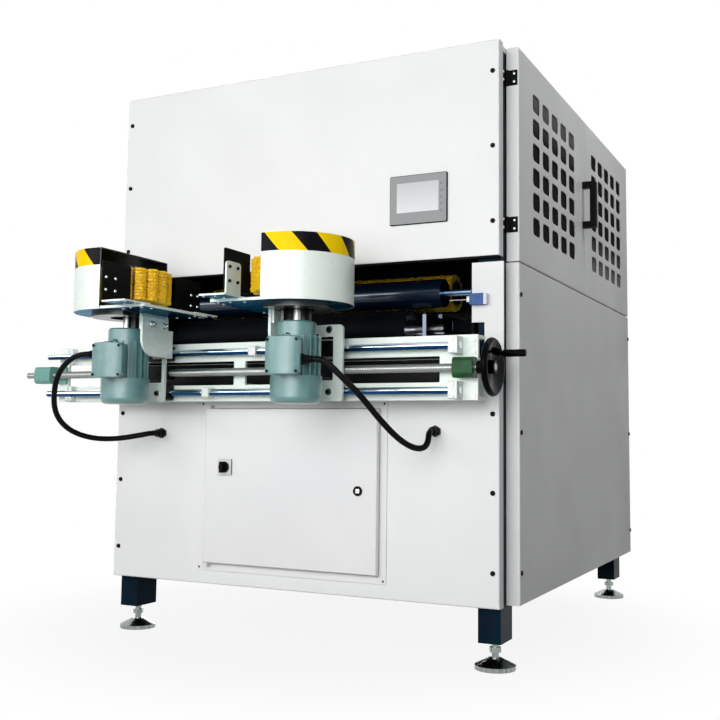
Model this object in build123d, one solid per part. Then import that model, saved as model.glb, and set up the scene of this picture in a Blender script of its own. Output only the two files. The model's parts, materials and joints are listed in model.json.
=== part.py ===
from build123d import *
import math
import os

# Brush sanding machine: a sheet-metal cabinet on four levelling feet, a cross beam in front of its
# infeed mouth with two vertical brush heads on carriages, and rollers, belt and brush inside.
# Lengths are millimetres. While modelling, X = 0 is the left edge of the front panels, Y = 0 is
# their front face with the depth along +Y, and Z = 0 is the floor. The last section moves the
# whole machine so that its origin is the middle of its footprint.

# Cabinet
front_width = 1330.0
leg_height = 176.0
cabinet_top = 1776.0
lower_panel_top = 863.0
upper_panel_bottom = 1150.0
panel_depth = 34.0
panel_lip = 20.0
sheet = 2.5
edge_round = 4.0
side_overhang = 32.0
side_front = 83.0
side_rear = 1571.0
side_seam = 1143.0
door_seam = 866.0
seam_gap = 4.0
roof_height = 16.0
mouth_bottom = 990.0

# Welded frame and feet
post_width = 66.0
post_depth = 100.0
post_inset = 8.0
tube = 60.0
tube_wall = 4.0
leg_bottom = 76.0
leg_floor = 12.0
pad_radius = 58.0
pad_rim = 12.0
pad_height = 30.0
stem_radius = 10.0
nut_flats = 30.0
nut_height = 14.0
mid_rail_top = 794.0

# Grille holes of the right side
hole_width = 78.0
hole_height = 55.0
hole_round = 15.0
hole_pitch_y = 104.0
hole_pitch_z = 76.0
hole_columns = 5
hole_rows = 6
hole_centre_z = (side_seam + cabinet_top) / 2 + 4.0
door_holes_y = (side_front + door_seam) / 2 - 7.5
grille_holes_y = (door_seam + side_rear) / 2 - 21.5

# Grille door on the right side: hinges and pull handle
door_clearance = 2.0
hinge_heights = (side_seam + 108.0, cabinet_top - 91.0)
hinge_height = 45.0
hinge_pin_radius = 3.0
knuckle_radius = 5.5
hinge_axis_gap = 6.0
leaf_thickness = 3.0
leaf_width = 30.0
handle_y = door_seam - 40.0
handle_z = (side_seam + cabinet_top) / 2 + 2.5
handle_length = 166.0
handle_reach = 50.0
handle_bar = 23.0
run_clearance = 0.05
face_clearance = 0.3

# Rear door
rear_door_depth = 30.0
rear_pin_radius = 5.0
pivot_inset = 9.0
pivot_depth = 16.0
lug_height = 9.0
rear_handle_x = front_width - 42.0
rear_handle_z = mouth_bottom - 278.0
rear_handle_length = 196.0

# Operator panel on the upper front panel
operator_x = front_width - 246.0
operator_z = upper_panel_bottom + 181.0
operator_width = 182.0
operator_height = 147.0
operator_proud = 7.0
operator_depth = 42.0
operator_rim = 9.0
screen_width = 132.0
screen_height = 88.0
screen_shift = 1.5
screen_rise = 6.0
screen_thickness = 1.5

# Electrical box in the lower front panel
electric_left = 335.0
electric_right = front_width - 339.0
electric_bottom = leg_height + 42.0
electric_top = lower_panel_top - 119.0
electric_flange = 20.0
electric_proud = 4.0
electric_depth = 200.0
electric_door_left = electric_left + 36.0
electric_door_right = electric_right - 21.0
electric_door_bottom = electric_bottom + 26.0
electric_door_top = electric_top - 24.0
electric_door_thickness = 18.0
electric_door_gap = 5.0
electric_pin_radius = 4.0
switch_x = electric_door_left + 78.0
switch_z = electric_door_top - 180.0
switch_plate_side = 50.0
switch_plate_thickness = 5.0
knob_radius = 17.0
knob_height = 8.0
knob_grip_height = 14.0
knob_shaft_radius = 4.0
lock_x = electric_door_right - 60.0
lock_z = (electric_door_bottom + electric_door_top) / 2
lock_radius = 10.0
lock_flange_radius = 14.0
lock_flange_height = 4.0
lock_cam_length = 40.0

# Panel screws
screw_radius = 7.0
screw_height = 4.0
screw_inset = 19.0
upper_screw_z = (upper_panel_bottom + 99.0, (upper_panel_bottom + cabinet_top) / 2 + 3.0,
                 cabinet_top - 92.0)
lower_screw_z = (leg_height + 96.0, (leg_height + lower_panel_top) / 2 - 30.5, lower_panel_top - 157.0)
side_screw_z = (leg_height + 89.0, (leg_height + side_seam) / 2 - 3.5, side_seam - 94.0)
side_screw_inset = 13.0

# Cross beam, rails and lead screw
beam_left = -171.0
beam_right = front_width - 27.0
beam_bottom = 741.0
beam_top = 919.0
beam_face = -98.0
beam_sheet = 10.0
beam_flange = 50.0
window_bottom = beam_bottom + 49.0
window_top = beam_top - 57.0
window_edges = ((beam_left + 39.0, 520.0), (560.0, beam_right - 111.0))
arm_centres = (98.0, 540.0, beam_right - 68.0)
arm_width = 40.0
arm_height = 32.0
arm_clearance = 3.0
rail_radius = 10.0
rail_y = beam_face - 24.0
rail_low = beam_bottom + 26.0
rail_high = beam_top - 30.0
rail_left = beam_left - 24.0
rail_right = beam_right - 41.0
support_length = 26.0
support_side = 48.0
support_left = beam_left + 48.0
support_right = beam_right - 68.0
stop_length = 24.0
stop_side = 30.0
stop_high_x = 607.0
stop_low_x = 443.0
screw_z = (rail_low + rail_high) / 2
thread_radius = 12.0
journal_radius = 10.0
thread_left = beam_left + 4.0
thread_right = beam_right - 63.0
screw_left_end = beam_left - 114.0
bearing_left_end = beam_left - 66.0
bearing_length = 66.0
bearing_side = 56.0
bearing_arm = 36.0
flange_bearing_left = beam_right - 57.0
wheel_gap = 9.0
wheel_hub_radius = 18.0
wheel_hub_length = 50.0
wheel_rim_radius = 70.0
wheel_rim_section = 9.0
wheel_web = 9.0
wheel_dish = 12.0
crank_radius = 61.0
crank_angle = 40.0
crank_pin_radius = 4.0
crank_grip_radius = 10.0
crank_grip_length = 64.0
crank_standoff = 4.0

# Brush heads: spacing and heights
feed_centre = 545.0
half_spacing = 295.0
head_y = -272.0
base_bottom = 996.5
base_thickness = 8.0
base_reach = 184.0
shaft_hole_radius = 20.0
hood_radius = 156.0
hood_wall = 3.0
hood_cut = 24.0
hood_bottom = 996.0
hood_top = 1175.0
fence_face = 100.0
fence_thickness = 4.0
fence_height = 109.5
# Gap, length and rise of the fences behind the brush, and of those before it, which are set by hand
rear_fence = (99.0, 128.0, 0.0)
left_front_fence = (110.0, 119.0, 0.0)
right_front_fence = (93.0, 121.0, 11.0)
bracket_thickness = 5.0
bracket_start = 145.0
bracket_end = 212.0
foot_end = 220.0
bracket_height = 91.5
bracket_round = 10.0
foot_start = 108.0
foot_reach = 172.0
bell_radius = 46.0
bell_wall = 8.0
bell_sector = (-20.0, 50.0, 120.0)
seal_radius = 104.0
seal_bore = 50.0
seal_side = 56.0
seal_thickness = 12.0

# Brushes: strips of bristle tufts on a round backing
brush_radius = 130.0
brush_bottom = 1030.0
brush_height = 93.0
brush_phase = 7.0
backing_radius = 54.0
backing_bore = 46.0
strip_count = 18
tufts_per_strip = 10
tuft_height = 7.0
tuft_root = 12.0
tuft_tip = 33.0
shaft_radius = 12.0
hub_flange_radius = 60.0
hub_flange_height = 7.0
shaft_top_rise = 10.0

# Head motors
motor_radius = 67.0
motor_core_radius = 54.0
cowl_radius = 71.0
motor_bottom = 727.0
cowl_top = 803.0
fins_top = 912.0
collar_top = 952.0
cowl_round = 18.0
fin_count = 20
fin_thickness = 4.5
shaft_engagement = 36.0
box_turn = 10.0
box_half_width = 36.0
box_top = 901.0
lid_half_width = 49.0
lid_bottom = 801.0
lid_top = 903.0
lid_back = 97.0
lid_edge = 108.0
lid_front = 125.0
lid_corner = 14.0
lid_round = 3.0

# Tilt bracket between carriage and head
lug_inner = 62.0
lug_thickness = 7.7
lug_front = -20.0
lug_rear = 106.0
lug_bottom = 950.0
tilt_plate = 8.0
tilt_front = -24.0
tilt_step = 98.0
tilt_top = 988.0
tilt_shoulder = 954.0
tilt_bottom = 870.0
tilt_corner = 56.0
tilt_flange = 68.0
pivot_v = 13.0
pivot_z = 966.0
pivot_radius = 6.0
slot_radius = 64.0
slot_stud_radius = 5.0
slot_half_angle = 10.0
slot_clearance = 0.5
stud_head = 6.0

# Carriages on the rails
carriage_outer = 78.0
carriage_inner = 50.0
carriage_plate = 10.0
carriage_bottom = 738.0
carriage_top = 955.0
carriage_round = 12.0
opening_outer = 48.0
opening_inner = 39.0
opening_bottom = 797.0
opening_top = 921.0
bearing_block_depth = 36.0
bearing_block_height = 44.0
bearing_outer = 56.0
bearing_inner = 52.0
nut_half_length = 54.0

# Conduits from the head motors to the lower front panel
conduit_radius = 8.5
boot_length = 26.0
boot_radius = 12.5
gland_flats = 28.0
gland_nut = 14.0
gland_v = -79.0
gland_z_left = 872.0
gland_z_right = 843.0
panel_gland_left = 185.0
panel_gland_right = front_width - 188.0
panel_gland_left_z = 642.0
panel_gland_right_z = 657.0
panel_gland_length = 30.0
mains_gland_x = front_width - 90.0
mains_gland_z = upper_panel_bottom + 80.0
mains_bore = 8.0

# Rollers, belt and inner frame
plate_left = 30.0
plate_right = front_width - 140.0
plate_thickness = 12.0
plate_front = 150.0
plate_rear = side_rear - 151.0
plate_top = 1300.0
conveyor_left = plate_left + 30.0
conveyor_right = plate_right - 160.0
conveyor_front = 160.0
conveyor_rear = plate_rear - 75.0
conveyor_bottom = 925.0
bed_thickness = 14.0
bed_front = 290.0
bed_rear = conveyor_rear - 130.0
cross_bar = 40.0
cross_bar_height = 30.0
cross_bar_y = (400.0, 1100.0)
drum_radius = 57.0
drum_z = 970.0
front_drum_y = 205.0
rear_drum_y = conveyor_rear - 45.0
drum_shaft_radius = 15.0
drum_shaft_end = conveyor_right + 55.0
belt_left = conveyor_left + 55.0
belt_right = conveyor_right - 55.0
belt_thickness = 4.0
belt_clearance = 0.3
pressure_radius = 44.0
pressure_z = 1082.0
infeed_roller_y = 210.0
outfeed_roller_y = rear_drum_y - 10.0
pressure_left = plate_left + 22.0
pressure_right = plate_right - 107.0
pressure_shaft_radius = 10.0
inner_brush_radius = 62.0
inner_brush_core = 40.0
inner_brush_y = 400.0
inner_brush_z = 1108.0
inner_brush_left = plate_left + 80.0
inner_brush_right = plate_right - 140.0
inner_brush_strips = 14
inner_brush_fill = 0.72
drive_length = 110.0
drive_radius = 65.0
drive_socket = 40.0
gearbox_side = 130.0

# Infeed side plate and limit switch
infeed_plate_left = front_width - 92.0
infeed_plate_right = front_width + 3.0
infeed_plate_bottom = 966.0
infeed_strip_left = infeed_plate_left + 38.0
infeed_plate_top = upper_panel_bottom - 12.0
infeed_plate_thickness = 4.0
switch_body_width = 52.0
switch_body_height = 32.0
switch_body_depth = 22.0
switch_body_z = 1031.0
rod_radius = 1.5
rod_length = 60.0
rod_pivot_radius = 3.0
rod_slot = 8.0

# Dust outlet on the roof
spigot_x = front_width / 2
spigot_y = side_rear / 2 - 5.5
spigot_radius = 75.0
spigot_wall = 2.5
spigot_height = 90.0
spigot_flange = 105.0
spigot_flange_thickness = 4.0

# Places worked out from the sizes above
post_left = post_inset
post_right = front_width - post_inset - post_width
front_post = panel_depth
rear_post = side_rear - panel_depth - post_depth
roof_under = cabinet_top - roof_height
side_right = front_width + side_overhang
side_inner_right = front_width - post_inset
axis_left = feed_centre - half_spacing
axis_right = feed_centre + half_spacing
base_top = base_bottom + base_thickness
carriage_front = rail_y - bearing_block_depth / 2 - carriage_plate
carriage_back = carriage_front + carriage_plate
hinge_x = side_inner_right + hinge_axis_gap
hinge_y = side_front - hinge_axis_gap
electric_door_back = -electric_proud - electric_door_gap
electric_door_face = electric_door_back - electric_door_thickness
electric_pivot_x = electric_door_left + pivot_inset
electric_pivot_y = electric_door_face + pivot_inset
rear_door_left = post_left + 6.0
rear_door_right = front_width - rear_door_left
rear_door_bottom = leg_height + 4.0
rear_door_top = mouth_bottom - 5.0
rear_pivot_x = rear_door_left + pivot_inset
rear_pivot_y = side_rear - pivot_inset
wheel_x = beam_right + wheel_gap
crank_y = rail_y + crank_radius * math.cos(math.radians(crank_angle))
crank_z = screw_z + crank_radius * math.sin(math.radians(crank_angle))
crank_start = wheel_x + wheel_hub_length + crank_standoff
belt_inner = drum_radius + belt_clearance
bed_top = drum_z + belt_inner - belt_clearance
conveyor_top = bed_top - bed_thickness
switch_rod_x = infeed_plate_left - rod_slot / 2


def block(x0, x1, y0, y1, z0, z1):
    """A box between two corners, given in any order."""
    centre = Pos((x0 + x1) / 2, (y0 + y1) / 2, (z0 + z1) / 2)
    return centre * Box(abs(x1 - x0), abs(y1 - y0), abs(z1 - z0))


def rod(radius, start, end):
    """A round bar from one point to another."""
    line = Vector(*end) - Vector(*start)
    flat_end = Plane(origin=start, z_dir=line)
    return flat_end * Cylinder(radius, line.length, align=(Align.CENTER, Align.CENTER, Align.MIN))


def hex_bar(flats, start, end):
    """A six-sided bar from one point to another, sized across its flats."""
    line = Vector(*end) - Vector(*start)
    flat_end = Plane(origin=start, z_dir=line)
    return flat_end * extrude(RegularPolygon(flats / 2, 6, major_radius=False), line.length)


def hollow_tube(x0, x1, y0, y1, z0, z1, along):
    """A square tube, open at both ends, running along X or Y."""
    wall = tube_wall
    if along == "X":
        inside = block(x0 - 1, x1 + 1, y0 + wall, y1 - wall, z0 + wall, z1 - wall)
    else:
        inside = block(x0 + wall, x1 - wall, y0 - 1, y1 + 1, z0 + wall, z1 - wall)
    return block(x0, x1, y0, y1, z0, z1) - inside


def folded_panel(x0, x1, z0, z1, face, back):
    """A sheet panel facing -Y, folded back on four sides, with lips round its open rear."""
    outer = block(x0, x1, face, back, z0, z1)
    outer = fillet(outer.faces().sort_by(Axis.Y)[0].edges(), edge_round)
    cavity = block(x0 + sheet, x1 - sheet, face + sheet, back - sheet, z0 + sheet, z1 - sheet)
    lips = (x0 + panel_lip, x1 - panel_lip, z0 + panel_lip, z1 - panel_lip)
    window = block(lips[0], lips[1], back - 2 * sheet, back + sheet, lips[2], lips[3])
    return outer - cavity - window


def right_casing(y0, y1, z0, z1, inner):
    """A folded panel that faces +X, on the right side of the cabinet."""
    return Rot(0, 0, 90) * folded_panel(y0, y1, z0, z1, -side_right, -inner)


def left_casing(y0, y1, z0, z1):
    """A folded panel that faces -X, on the left side of the cabinet."""
    return Rot(0, 0, -90) * folded_panel(-y1, -y0, z0, z1, -side_overhang, post_left)


def grille_holes(centre_y):
    """Rounded holes in a grid, cut through a casing of the right side."""
    spot = Plane(origin=(side_right + sheet, centre_y, hole_centre_z), x_dir=(0, 1, 0), z_dir=(1, 0, 0))
    grid = GridLocations(hole_pitch_y, hole_pitch_z, hole_columns, hole_rows)
    holes = Sketch() + grid * RectangleRounded(hole_width, hole_height, hole_round)
    return extrude(spot * holes, -3 * sheet)


def pull_handle(length, reach):
    """A bow handle standing on the plane X = 0, its length along Z, its bar at X = reach."""
    half = length / 2
    bar = handle_bar
    legs = block(0, reach, -bar / 2, bar / 2, half - bar, half)
    legs += block(0, reach, -bar / 2, bar / 2, -half, bar - half)
    bow = legs + block(reach - bar, reach, -bar / 2, bar / 2, -half, half)
    return fillet(bow.faces().sort_by(Axis.X)[-1].edges(), bar / 4)


def frame_posts():
    """Four corner posts that run down into the legs."""
    posts = []
    for x in (post_left, post_right):
        for y in (front_post, rear_post):
            outer = block(x, x + post_width, y, y + post_depth, leg_bottom, roof_under)
            wall = tube_wall
            inside = block(x + wall, x + post_width - wall, y + wall, y + post_depth - wall,
                           leg_bottom + leg_floor, roof_under + 1)
            posts.append(outer - inside)
    return posts


def frame_rails():
    """Cross tubes between the posts at the foot, under the rollers and under the roof."""
    left_end, right_end = post_left + post_width, post_right
    front_end, rear_end = front_post + post_depth, rear_post
    right_side = side_inner_right - tube
    inner_side = plate_right + plate_thickness / 2 - tube / 2
    rails = []
    for z in (leg_height, roof_under - tube):
        rails.append(hollow_tube(left_end, right_end, front_post, front_post + tube, z, z + tube, "X"))
        rear_face = rear_post + post_depth
        rails.append(hollow_tube(left_end, right_end, rear_face - tube, rear_face, z, z + tube, "X"))
        for x in (post_left, right_side):
            rails.append(hollow_tube(x, x + tube, front_end, rear_end, z, z + tube, "Y"))
    z = mid_rail_top - tube
    rails.append(hollow_tube(left_end, right_end, front_end - tube, front_end, z, z + tube, "X"))
    rails.append(hollow_tube(left_end, right_end, rear_end, rear_end + tube, z, z + tube, "X"))
    for x in (post_left, inner_side):
        rails.append(hollow_tube(x, x + tube, front_end, rear_end, z, z + tube, "Y"))
    return rails


def levelling_feet():
    """Round pads with a threaded stem and a lock nut under each leg."""
    feet = []
    for x in (post_left + post_width / 2, post_right + post_width / 2):
        for y in (front_post + post_depth / 2, rear_post + post_depth / 2):
            rim = rod(pad_radius, (x, y, 0), (x, y, pad_rim))
            cone_height = pad_height - pad_rim
            cone = Pos(x, y, pad_rim + cone_height / 2) * Cone(pad_radius, 2 * stem_radius, cone_height)
            stem = rod(stem_radius, (x, y, pad_height), (x, y, leg_bottom))
            nut_z = (pad_height + leg_bottom - nut_height) / 2
            nut = hex_bar(nut_flats, (x, y, nut_z), (x, y, nut_z + nut_height))
            feet.append(rim + cone + stem + nut)
    return feet


def front_upper_panel():
    panel = folded_panel(0, front_width, upper_panel_bottom, cabinet_top, 0, panel_depth)
    hole_x = operator_width / 2 - operator_rim
    hole_z = operator_height / 2 - operator_rim
    return panel - block(operator_x - hole_x, operator_x + hole_x, -1, 2 * sheet,
                         operator_z - hole_z, operator_z + hole_z)


def front_lower_panel():
    panel = folded_panel(0, front_width, leg_height, lower_panel_top, 0, panel_depth)
    flange = electric_flange
    panel -= block(electric_left + flange, electric_right - flange, -1, panel_depth + 1,
                   electric_bottom + flange, electric_top - flange)
    for x, z in ((panel_gland_left, panel_gland_left_z), (panel_gland_right, panel_gland_right_z)):
        panel -= rod(conduit_radius, (x, -1, z), (x, 2 * sheet, z))
    half = arm_width / 2 + arm_clearance
    low, high = mid_rail_top - arm_height - arm_clearance, mid_rail_top + arm_clearance
    for x in arm_centres:
        panel -= block(x - half, x + half, -1, panel_depth + 1, low, high)
    return panel


def side_panels():
    """Fixed casings of both sides, and the plate at the right end of the infeed mouth."""
    half_gap = seam_gap / 2
    lower_top, upper_bottom = side_seam - half_gap, side_seam + half_gap
    right_lower = right_casing(side_front, side_rear, leg_height, lower_top, side_inner_right)
    right_grille = right_casing(door_seam + half_gap, side_rear, upper_bottom, cabinet_top,
                                side_inner_right)
    right_grille -= grille_holes(grille_holes_y)
    left_lower = left_casing(side_front, side_rear, leg_height, lower_top)
    left_upper = left_casing(side_front, side_rear, upper_bottom, cabinet_top)
    face = panel_depth - infeed_plate_thickness
    infeed_plate = block(infeed_plate_left, infeed_plate_right, face, panel_depth, infeed_plate_bottom,
                         infeed_plate_top)
    infeed_plate += block(infeed_strip_left, infeed_plate_right, face, panel_depth,
                          lower_panel_top + seam_gap, infeed_plate_top)
    return [right_lower, right_grille, left_lower, left_upper, infeed_plate]


def rear_panel():
    panel = Rot(0, 0, 180) * folded_panel(-front_width + post_left, -post_left, upper_panel_bottom,
                                          cabinet_top, -side_rear, -side_rear + panel_depth)
    x, z = mains_gland_x, mains_gland_z
    return panel - rod(mains_bore, (x, side_rear - 2 * sheet, z), (x, side_rear + 1, z))


def roof_panel():
    left, right, rear = post_left, side_inner_right, side_rear - panel_depth
    roof = block(left, right, panel_depth, rear, roof_under, cabinet_top)
    roof -= block(left + sheet, right - sheet, panel_depth + sheet, rear - sheet, roof_under - 1,
                  cabinet_top - sheet)
    inside = spigot_radius - spigot_wall
    return roof - rod(inside, (spigot_x, spigot_y, roof_under), (spigot_x, spigot_y, cabinet_top + 1))


def dust_spigot():
    """A round outlet on the roof for an extraction hose."""
    top = cabinet_top + spigot_height
    outlet = rod(spigot_radius, (spigot_x, spigot_y, cabinet_top), (spigot_x, spigot_y, top))
    outlet += rod(spigot_flange, (spigot_x, spigot_y, cabinet_top),
                  (spigot_x, spigot_y, cabinet_top + spigot_flange_thickness))
    inside = spigot_radius - spigot_wall
    return outlet - rod(inside, (spigot_x, spigot_y, cabinet_top - 1), (spigot_x, spigot_y, top + 1))


def hinge_leaves():
    """The fixed halves of every door's hinges, each with its pin."""
    leaves = []
    third = hinge_height / 3
    for z in hinge_heights:
        low = z - hinge_height / 2
        leaf = block(side_inner_right, side_inner_right + leaf_thickness, front_post + edge_round,
                     hinge_y, low, low + hinge_height)
        leaf += rod(knuckle_radius, (hinge_x, hinge_y, low), (hinge_x, hinge_y, low + hinge_height))
        leaf -= rod(knuckle_radius + 1, (hinge_x, hinge_y, low + third),
                    (hinge_x, hinge_y, low + 2 * third))
        leaf += rod(hinge_pin_radius, (hinge_x, hinge_y, low), (hinge_x, hinge_y, low + hinge_height))
        leaves.append(leaf)
    lug_half = pivot_inset
    for z, way in ((electric_door_top, 1), (electric_door_bottom, -1)):
        near = z + way * face_clearance
        lug = block(electric_pivot_x - lug_half, electric_pivot_x + lug_half, electric_door_face,
                    -electric_proud, near, near + way * lug_height)
        lug += rod(electric_pin_radius, (electric_pivot_x, electric_pivot_y, near),
                   (electric_pivot_x, electric_pivot_y, z - way * (pivot_depth - 1)))
        leaves.append(lug)
    for z, way in ((rear_door_top, 1), (rear_door_bottom, -1)):
        near = z + way * face_clearance
        lug = block(rear_pivot_x - lug_half, rear_pivot_x + lug_half, side_rear - panel_depth,
                    side_rear, near, near + way * lug_height)
        lug += rod(rear_pin_radius, (rear_pivot_x, rear_pivot_y, near),
                   (rear_pivot_x, rear_pivot_y, z - way * (pivot_depth - 1)))
        leaves.append(lug)
    return leaves


def operator_panel():
    """The operator terminal: a bezel on the panel's face and its housing behind."""
    half_w, half_h = operator_width / 2, operator_height / 2
    bezel = block(operator_x - half_w, operator_x + half_w, -operator_proud, 0,
                  operator_z - half_h, operator_z + half_h)
    bezel = fillet(bezel.edges().filter_by(Axis.Y), edge_round)
    bezel = chamfer(bezel.faces().sort_by(Axis.Y)[0].edges(), 2)
    half_w, half_h = half_w - operator_rim, half_h - operator_rim
    bezel += block(operator_x - half_w, operator_x + half_w, 0, operator_depth,
                   operator_z - half_h, operator_z + half_h)
    return bezel - operator_recess()


def operator_recess():
    centre = operator_x - screen_shift
    middle = operator_z + screen_rise
    return block(centre - screen_width / 2, centre + screen_width / 2, -operator_proud - 1,
                 -operator_proud + screen_thickness, middle - screen_height / 2, middle + screen_height / 2)


def operator_screen():
    centre = operator_x - screen_shift
    middle = operator_z + screen_rise
    return block(centre - screen_width / 2, centre + screen_width / 2, -operator_proud,
                 -operator_proud + screen_thickness, middle - screen_height / 2, middle + screen_height / 2)


def electrical_box():
    """A box set into the lower front panel, with a flange on the panel's face."""
    flange = block(electric_left, electric_right, -electric_proud, 0, electric_bottom, electric_top)
    inset = electric_flange
    body = block(electric_left + inset, electric_right - inset, -electric_proud, electric_depth,
                 electric_bottom + inset, electric_top - inset)
    inset += sheet
    inside = block(electric_left + inset, electric_right - inset, -electric_proud - 1,
                   electric_depth - sheet, electric_bottom + inset, electric_top - inset)
    return flange + body - inside


def electrical_door():
    door = block(electric_door_left, electric_door_right, electric_door_face, electric_door_back,
                 electric_door_bottom, electric_door_top)
    door = fillet(door.faces().sort_by(Axis.Y)[0].edges(), edge_round)
    pocket = electric_flange + sheet + pivot_inset
    door -= block(electric_door_left + pocket, electric_door_right - pocket,
                  electric_door_face + sheet, electric_door_back + 1,
                  electric_door_bottom + pocket, electric_door_top - pocket)
    for z, way in ((electric_door_top, -1), (electric_door_bottom, 1)):
        door -= rod(electric_pin_radius + run_clearance,
                    (electric_pivot_x, electric_pivot_y, z - way),
                    (electric_pivot_x, electric_pivot_y, z + way * pivot_depth))
    for x, z, radius in ((lock_x, lock_z, lock_radius), (switch_x, switch_z, knob_shaft_radius)):
        door -= rod(radius + run_clearance, (x, electric_door_face - 1, z), (x, electric_door_back, z))
    return door


def main_switch_plate():
    half = switch_plate_side / 2
    face = electric_door_face - switch_plate_thickness
    plate = block(switch_x - half, switch_x + half, face, electric_door_face,
                  switch_z - half, switch_z + half)
    plate = fillet(plate.edges().filter_by(Axis.Y), edge_round)
    return plate - rod(knob_shaft_radius + run_clearance, (switch_x, face - 1, switch_z),
                       (switch_x, electric_door_face + 1, switch_z))


def main_switch_knob():
    start = electric_door_face - switch_plate_thickness - face_clearance
    knob = rod(knob_radius, (switch_x, start, switch_z), (switch_x, start - knob_height, switch_z))
    front = start - knob_height - knob_grip_height
    grip = block(switch_x - knob_radius / 3, switch_x + knob_radius / 3, front, start - knob_height,
                 switch_z - knob_radius, switch_z + knob_radius)
    grip = fillet(grip.edges().filter_by(Axis.Y), knob_radius / 6)
    shaft = rod(knob_shaft_radius, (switch_x, start, switch_z),
                (switch_x, electric_door_face + sheet, switch_z))
    return knob + grip + shaft


def door_lock():
    """A quarter-turn lock: flange and barrel through the door, with a cam behind its sheet."""
    front = electric_door_face - face_clearance
    lock = rod(lock_flange_radius, (lock_x, front, lock_z), (lock_x, front - lock_flange_height, lock_z))
    cam_y = electric_door_face + sheet + 3
    lock += rod(lock_radius, (lock_x, front, lock_z), (lock_x, cam_y + sheet, lock_z))
    lock += block(lock_x - lock_radius / 2, lock_x + lock_radius / 2, cam_y, cam_y + sheet,
                  lock_z - lock_cam_length, lock_z)
    slot = lock_flange_height / 2
    return lock - block(lock_x - lock_radius, lock_x + lock_radius, front - lock_flange_height - 1,
                        front - lock_flange_height + slot, lock_z - slot / 2, lock_z + slot / 2)


def panel_screws():
    """Button-head screws along the edges of the front panels and the right lower casing."""
    screws = []
    for x in (screw_inset, front_width - screw_inset):
        for z in upper_screw_z + lower_screw_z:
            head = rod(screw_radius, (x, 0, z), (x, -screw_height, z))
            screws.append(fillet(head.faces().sort_by(Axis.Y)[0].edges(), screw_height / 2))
    for y in (side_front + side_screw_inset, side_rear - side_screw_inset):
        for z in side_screw_z:
            head = rod(screw_radius, (side_right, y, z), (side_right + screw_height, y, z))
            screws.append(fillet(head.faces().sort_by(Axis.X)[-1].edges(), screw_height / 2))
    return screws


def side_door():
    half_gap = seam_gap / 2
    door = right_casing(side_front, door_seam - half_gap, side_seam + half_gap, cabinet_top,
                        side_inner_right + door_clearance)
    return door - grille_holes(door_holes_y)


def side_door_fittings():
    """The grille door's pull handle and the moving halves of its hinges."""
    fittings = [Pos(side_right, handle_y, handle_z) * pull_handle(handle_length, handle_reach)]
    third = hinge_height / 3
    for z in hinge_heights:
        low, high = z - third / 2 + face_clearance, z + third / 2 - face_clearance
        leaf = block(hinge_x, hinge_x + leaf_width, side_front - leaf_thickness, side_front,
                     z - hinge_height / 2, z + hinge_height / 2)
        leaf -= rod(knuckle_radius + 1, (hinge_x, hinge_y, z - hinge_height),
                    (hinge_x, hinge_y, z + hinge_height))
        leaf += rod(knuckle_radius, (hinge_x, hinge_y, low), (hinge_x, hinge_y, high))
        leaf += block(hinge_x, hinge_x + 2 * knuckle_radius, hinge_y, side_front, low, high)
        leaf -= rod(hinge_pin_radius + run_clearance, (hinge_x, hinge_y, low - 1),
                    (hinge_x, hinge_y, high + 1))
        fittings.append(leaf)
    return fittings


def rear_door():
    door = Rot(0, 0, 180) * folded_panel(-rear_door_right, -rear_door_left, rear_door_bottom,
                                         rear_door_top, -side_rear, -side_rear + rear_door_depth)
    for z, way in ((rear_door_top, -1), (rear_door_bottom, 1)):
        corner = block(rear_pivot_x - pivot_inset + sheet, rear_pivot_x + pivot_inset,
                       rear_pivot_y - pivot_inset, rear_pivot_y + pivot_inset - sheet,
                       z + way * sheet, z + way * (pivot_depth + sheet))
        door += corner
        door -= rod(rear_pin_radius + run_clearance, (rear_pivot_x, rear_pivot_y, z - way),
                    (rear_pivot_x, rear_pivot_y, z + way * pivot_depth))
    return door


def rear_door_handle():
    handle = Rot(0, 0, 90) * pull_handle(rear_handle_length, handle_reach)
    return Pos(rear_handle_x, side_rear, rear_handle_z) * handle


def cross_beam():
    """A channel with two long windows, and the arms that carry it on the cabinet's frame."""
    back = beam_face + beam_sheet
    beam = block(beam_left, beam_right, beam_face, back, beam_bottom, beam_top)
    beam += block(beam_left, beam_right, back, back + beam_flange, beam_top - beam_sheet, beam_top)
    beam += block(beam_left, beam_right, back, back + beam_flange, beam_bottom, beam_bottom + beam_sheet)
    for x0, x1 in window_edges:
        window = block(x0, x1, beam_face - 1, back + 1, window_bottom, window_top)
        beam -= fillet(window.edges().filter_by(Axis.Y), edge_round)
    rail_face = front_post + post_depth - tube
    arms = []
    for x in arm_centres:
        arms.append(block(x - arm_width / 2, x + arm_width / 2, back, rail_face,
                          mid_rail_top - arm_height, mid_rail_top))
    return [beam] + arms


def guide_rails():
    rails = []
    for z in (rail_low, rail_high):
        rails.append(rod(rail_radius, (rail_left, rail_y, z), (rail_right, rail_y, z)))
    return rails


def rail_block(x, z, length, side, front, back):
    body = block(x, x + length, front, back, z - side / 2, z + side / 2)
    body = chamfer(body.edges().filter_by(Axis.X), 3)
    return body - rod(rail_radius, (x - 1, rail_y, z), (x + length + 1, rail_y, z))


def rail_blocks():
    """Saddles on the left and blocks on the right that hold the rails, and two clamped travel stops."""
    front = 2 * rail_y - beam_face
    blocks = []
    for z in (rail_low, rail_high):
        blocks.append(rail_block(support_left, z, support_length, support_side, rail_y, beam_face))
        blocks.append(rail_block(support_right, z, support_length, support_side, front, beam_face))
    for x, z in ((stop_high_x, rail_high), (stop_low_x, rail_low)):
        half = stop_side / 2
        blocks.append(rail_block(x - stop_length / 2, z, stop_length, stop_side, rail_y - half,
                                 rail_y + half))
    return blocks


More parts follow.
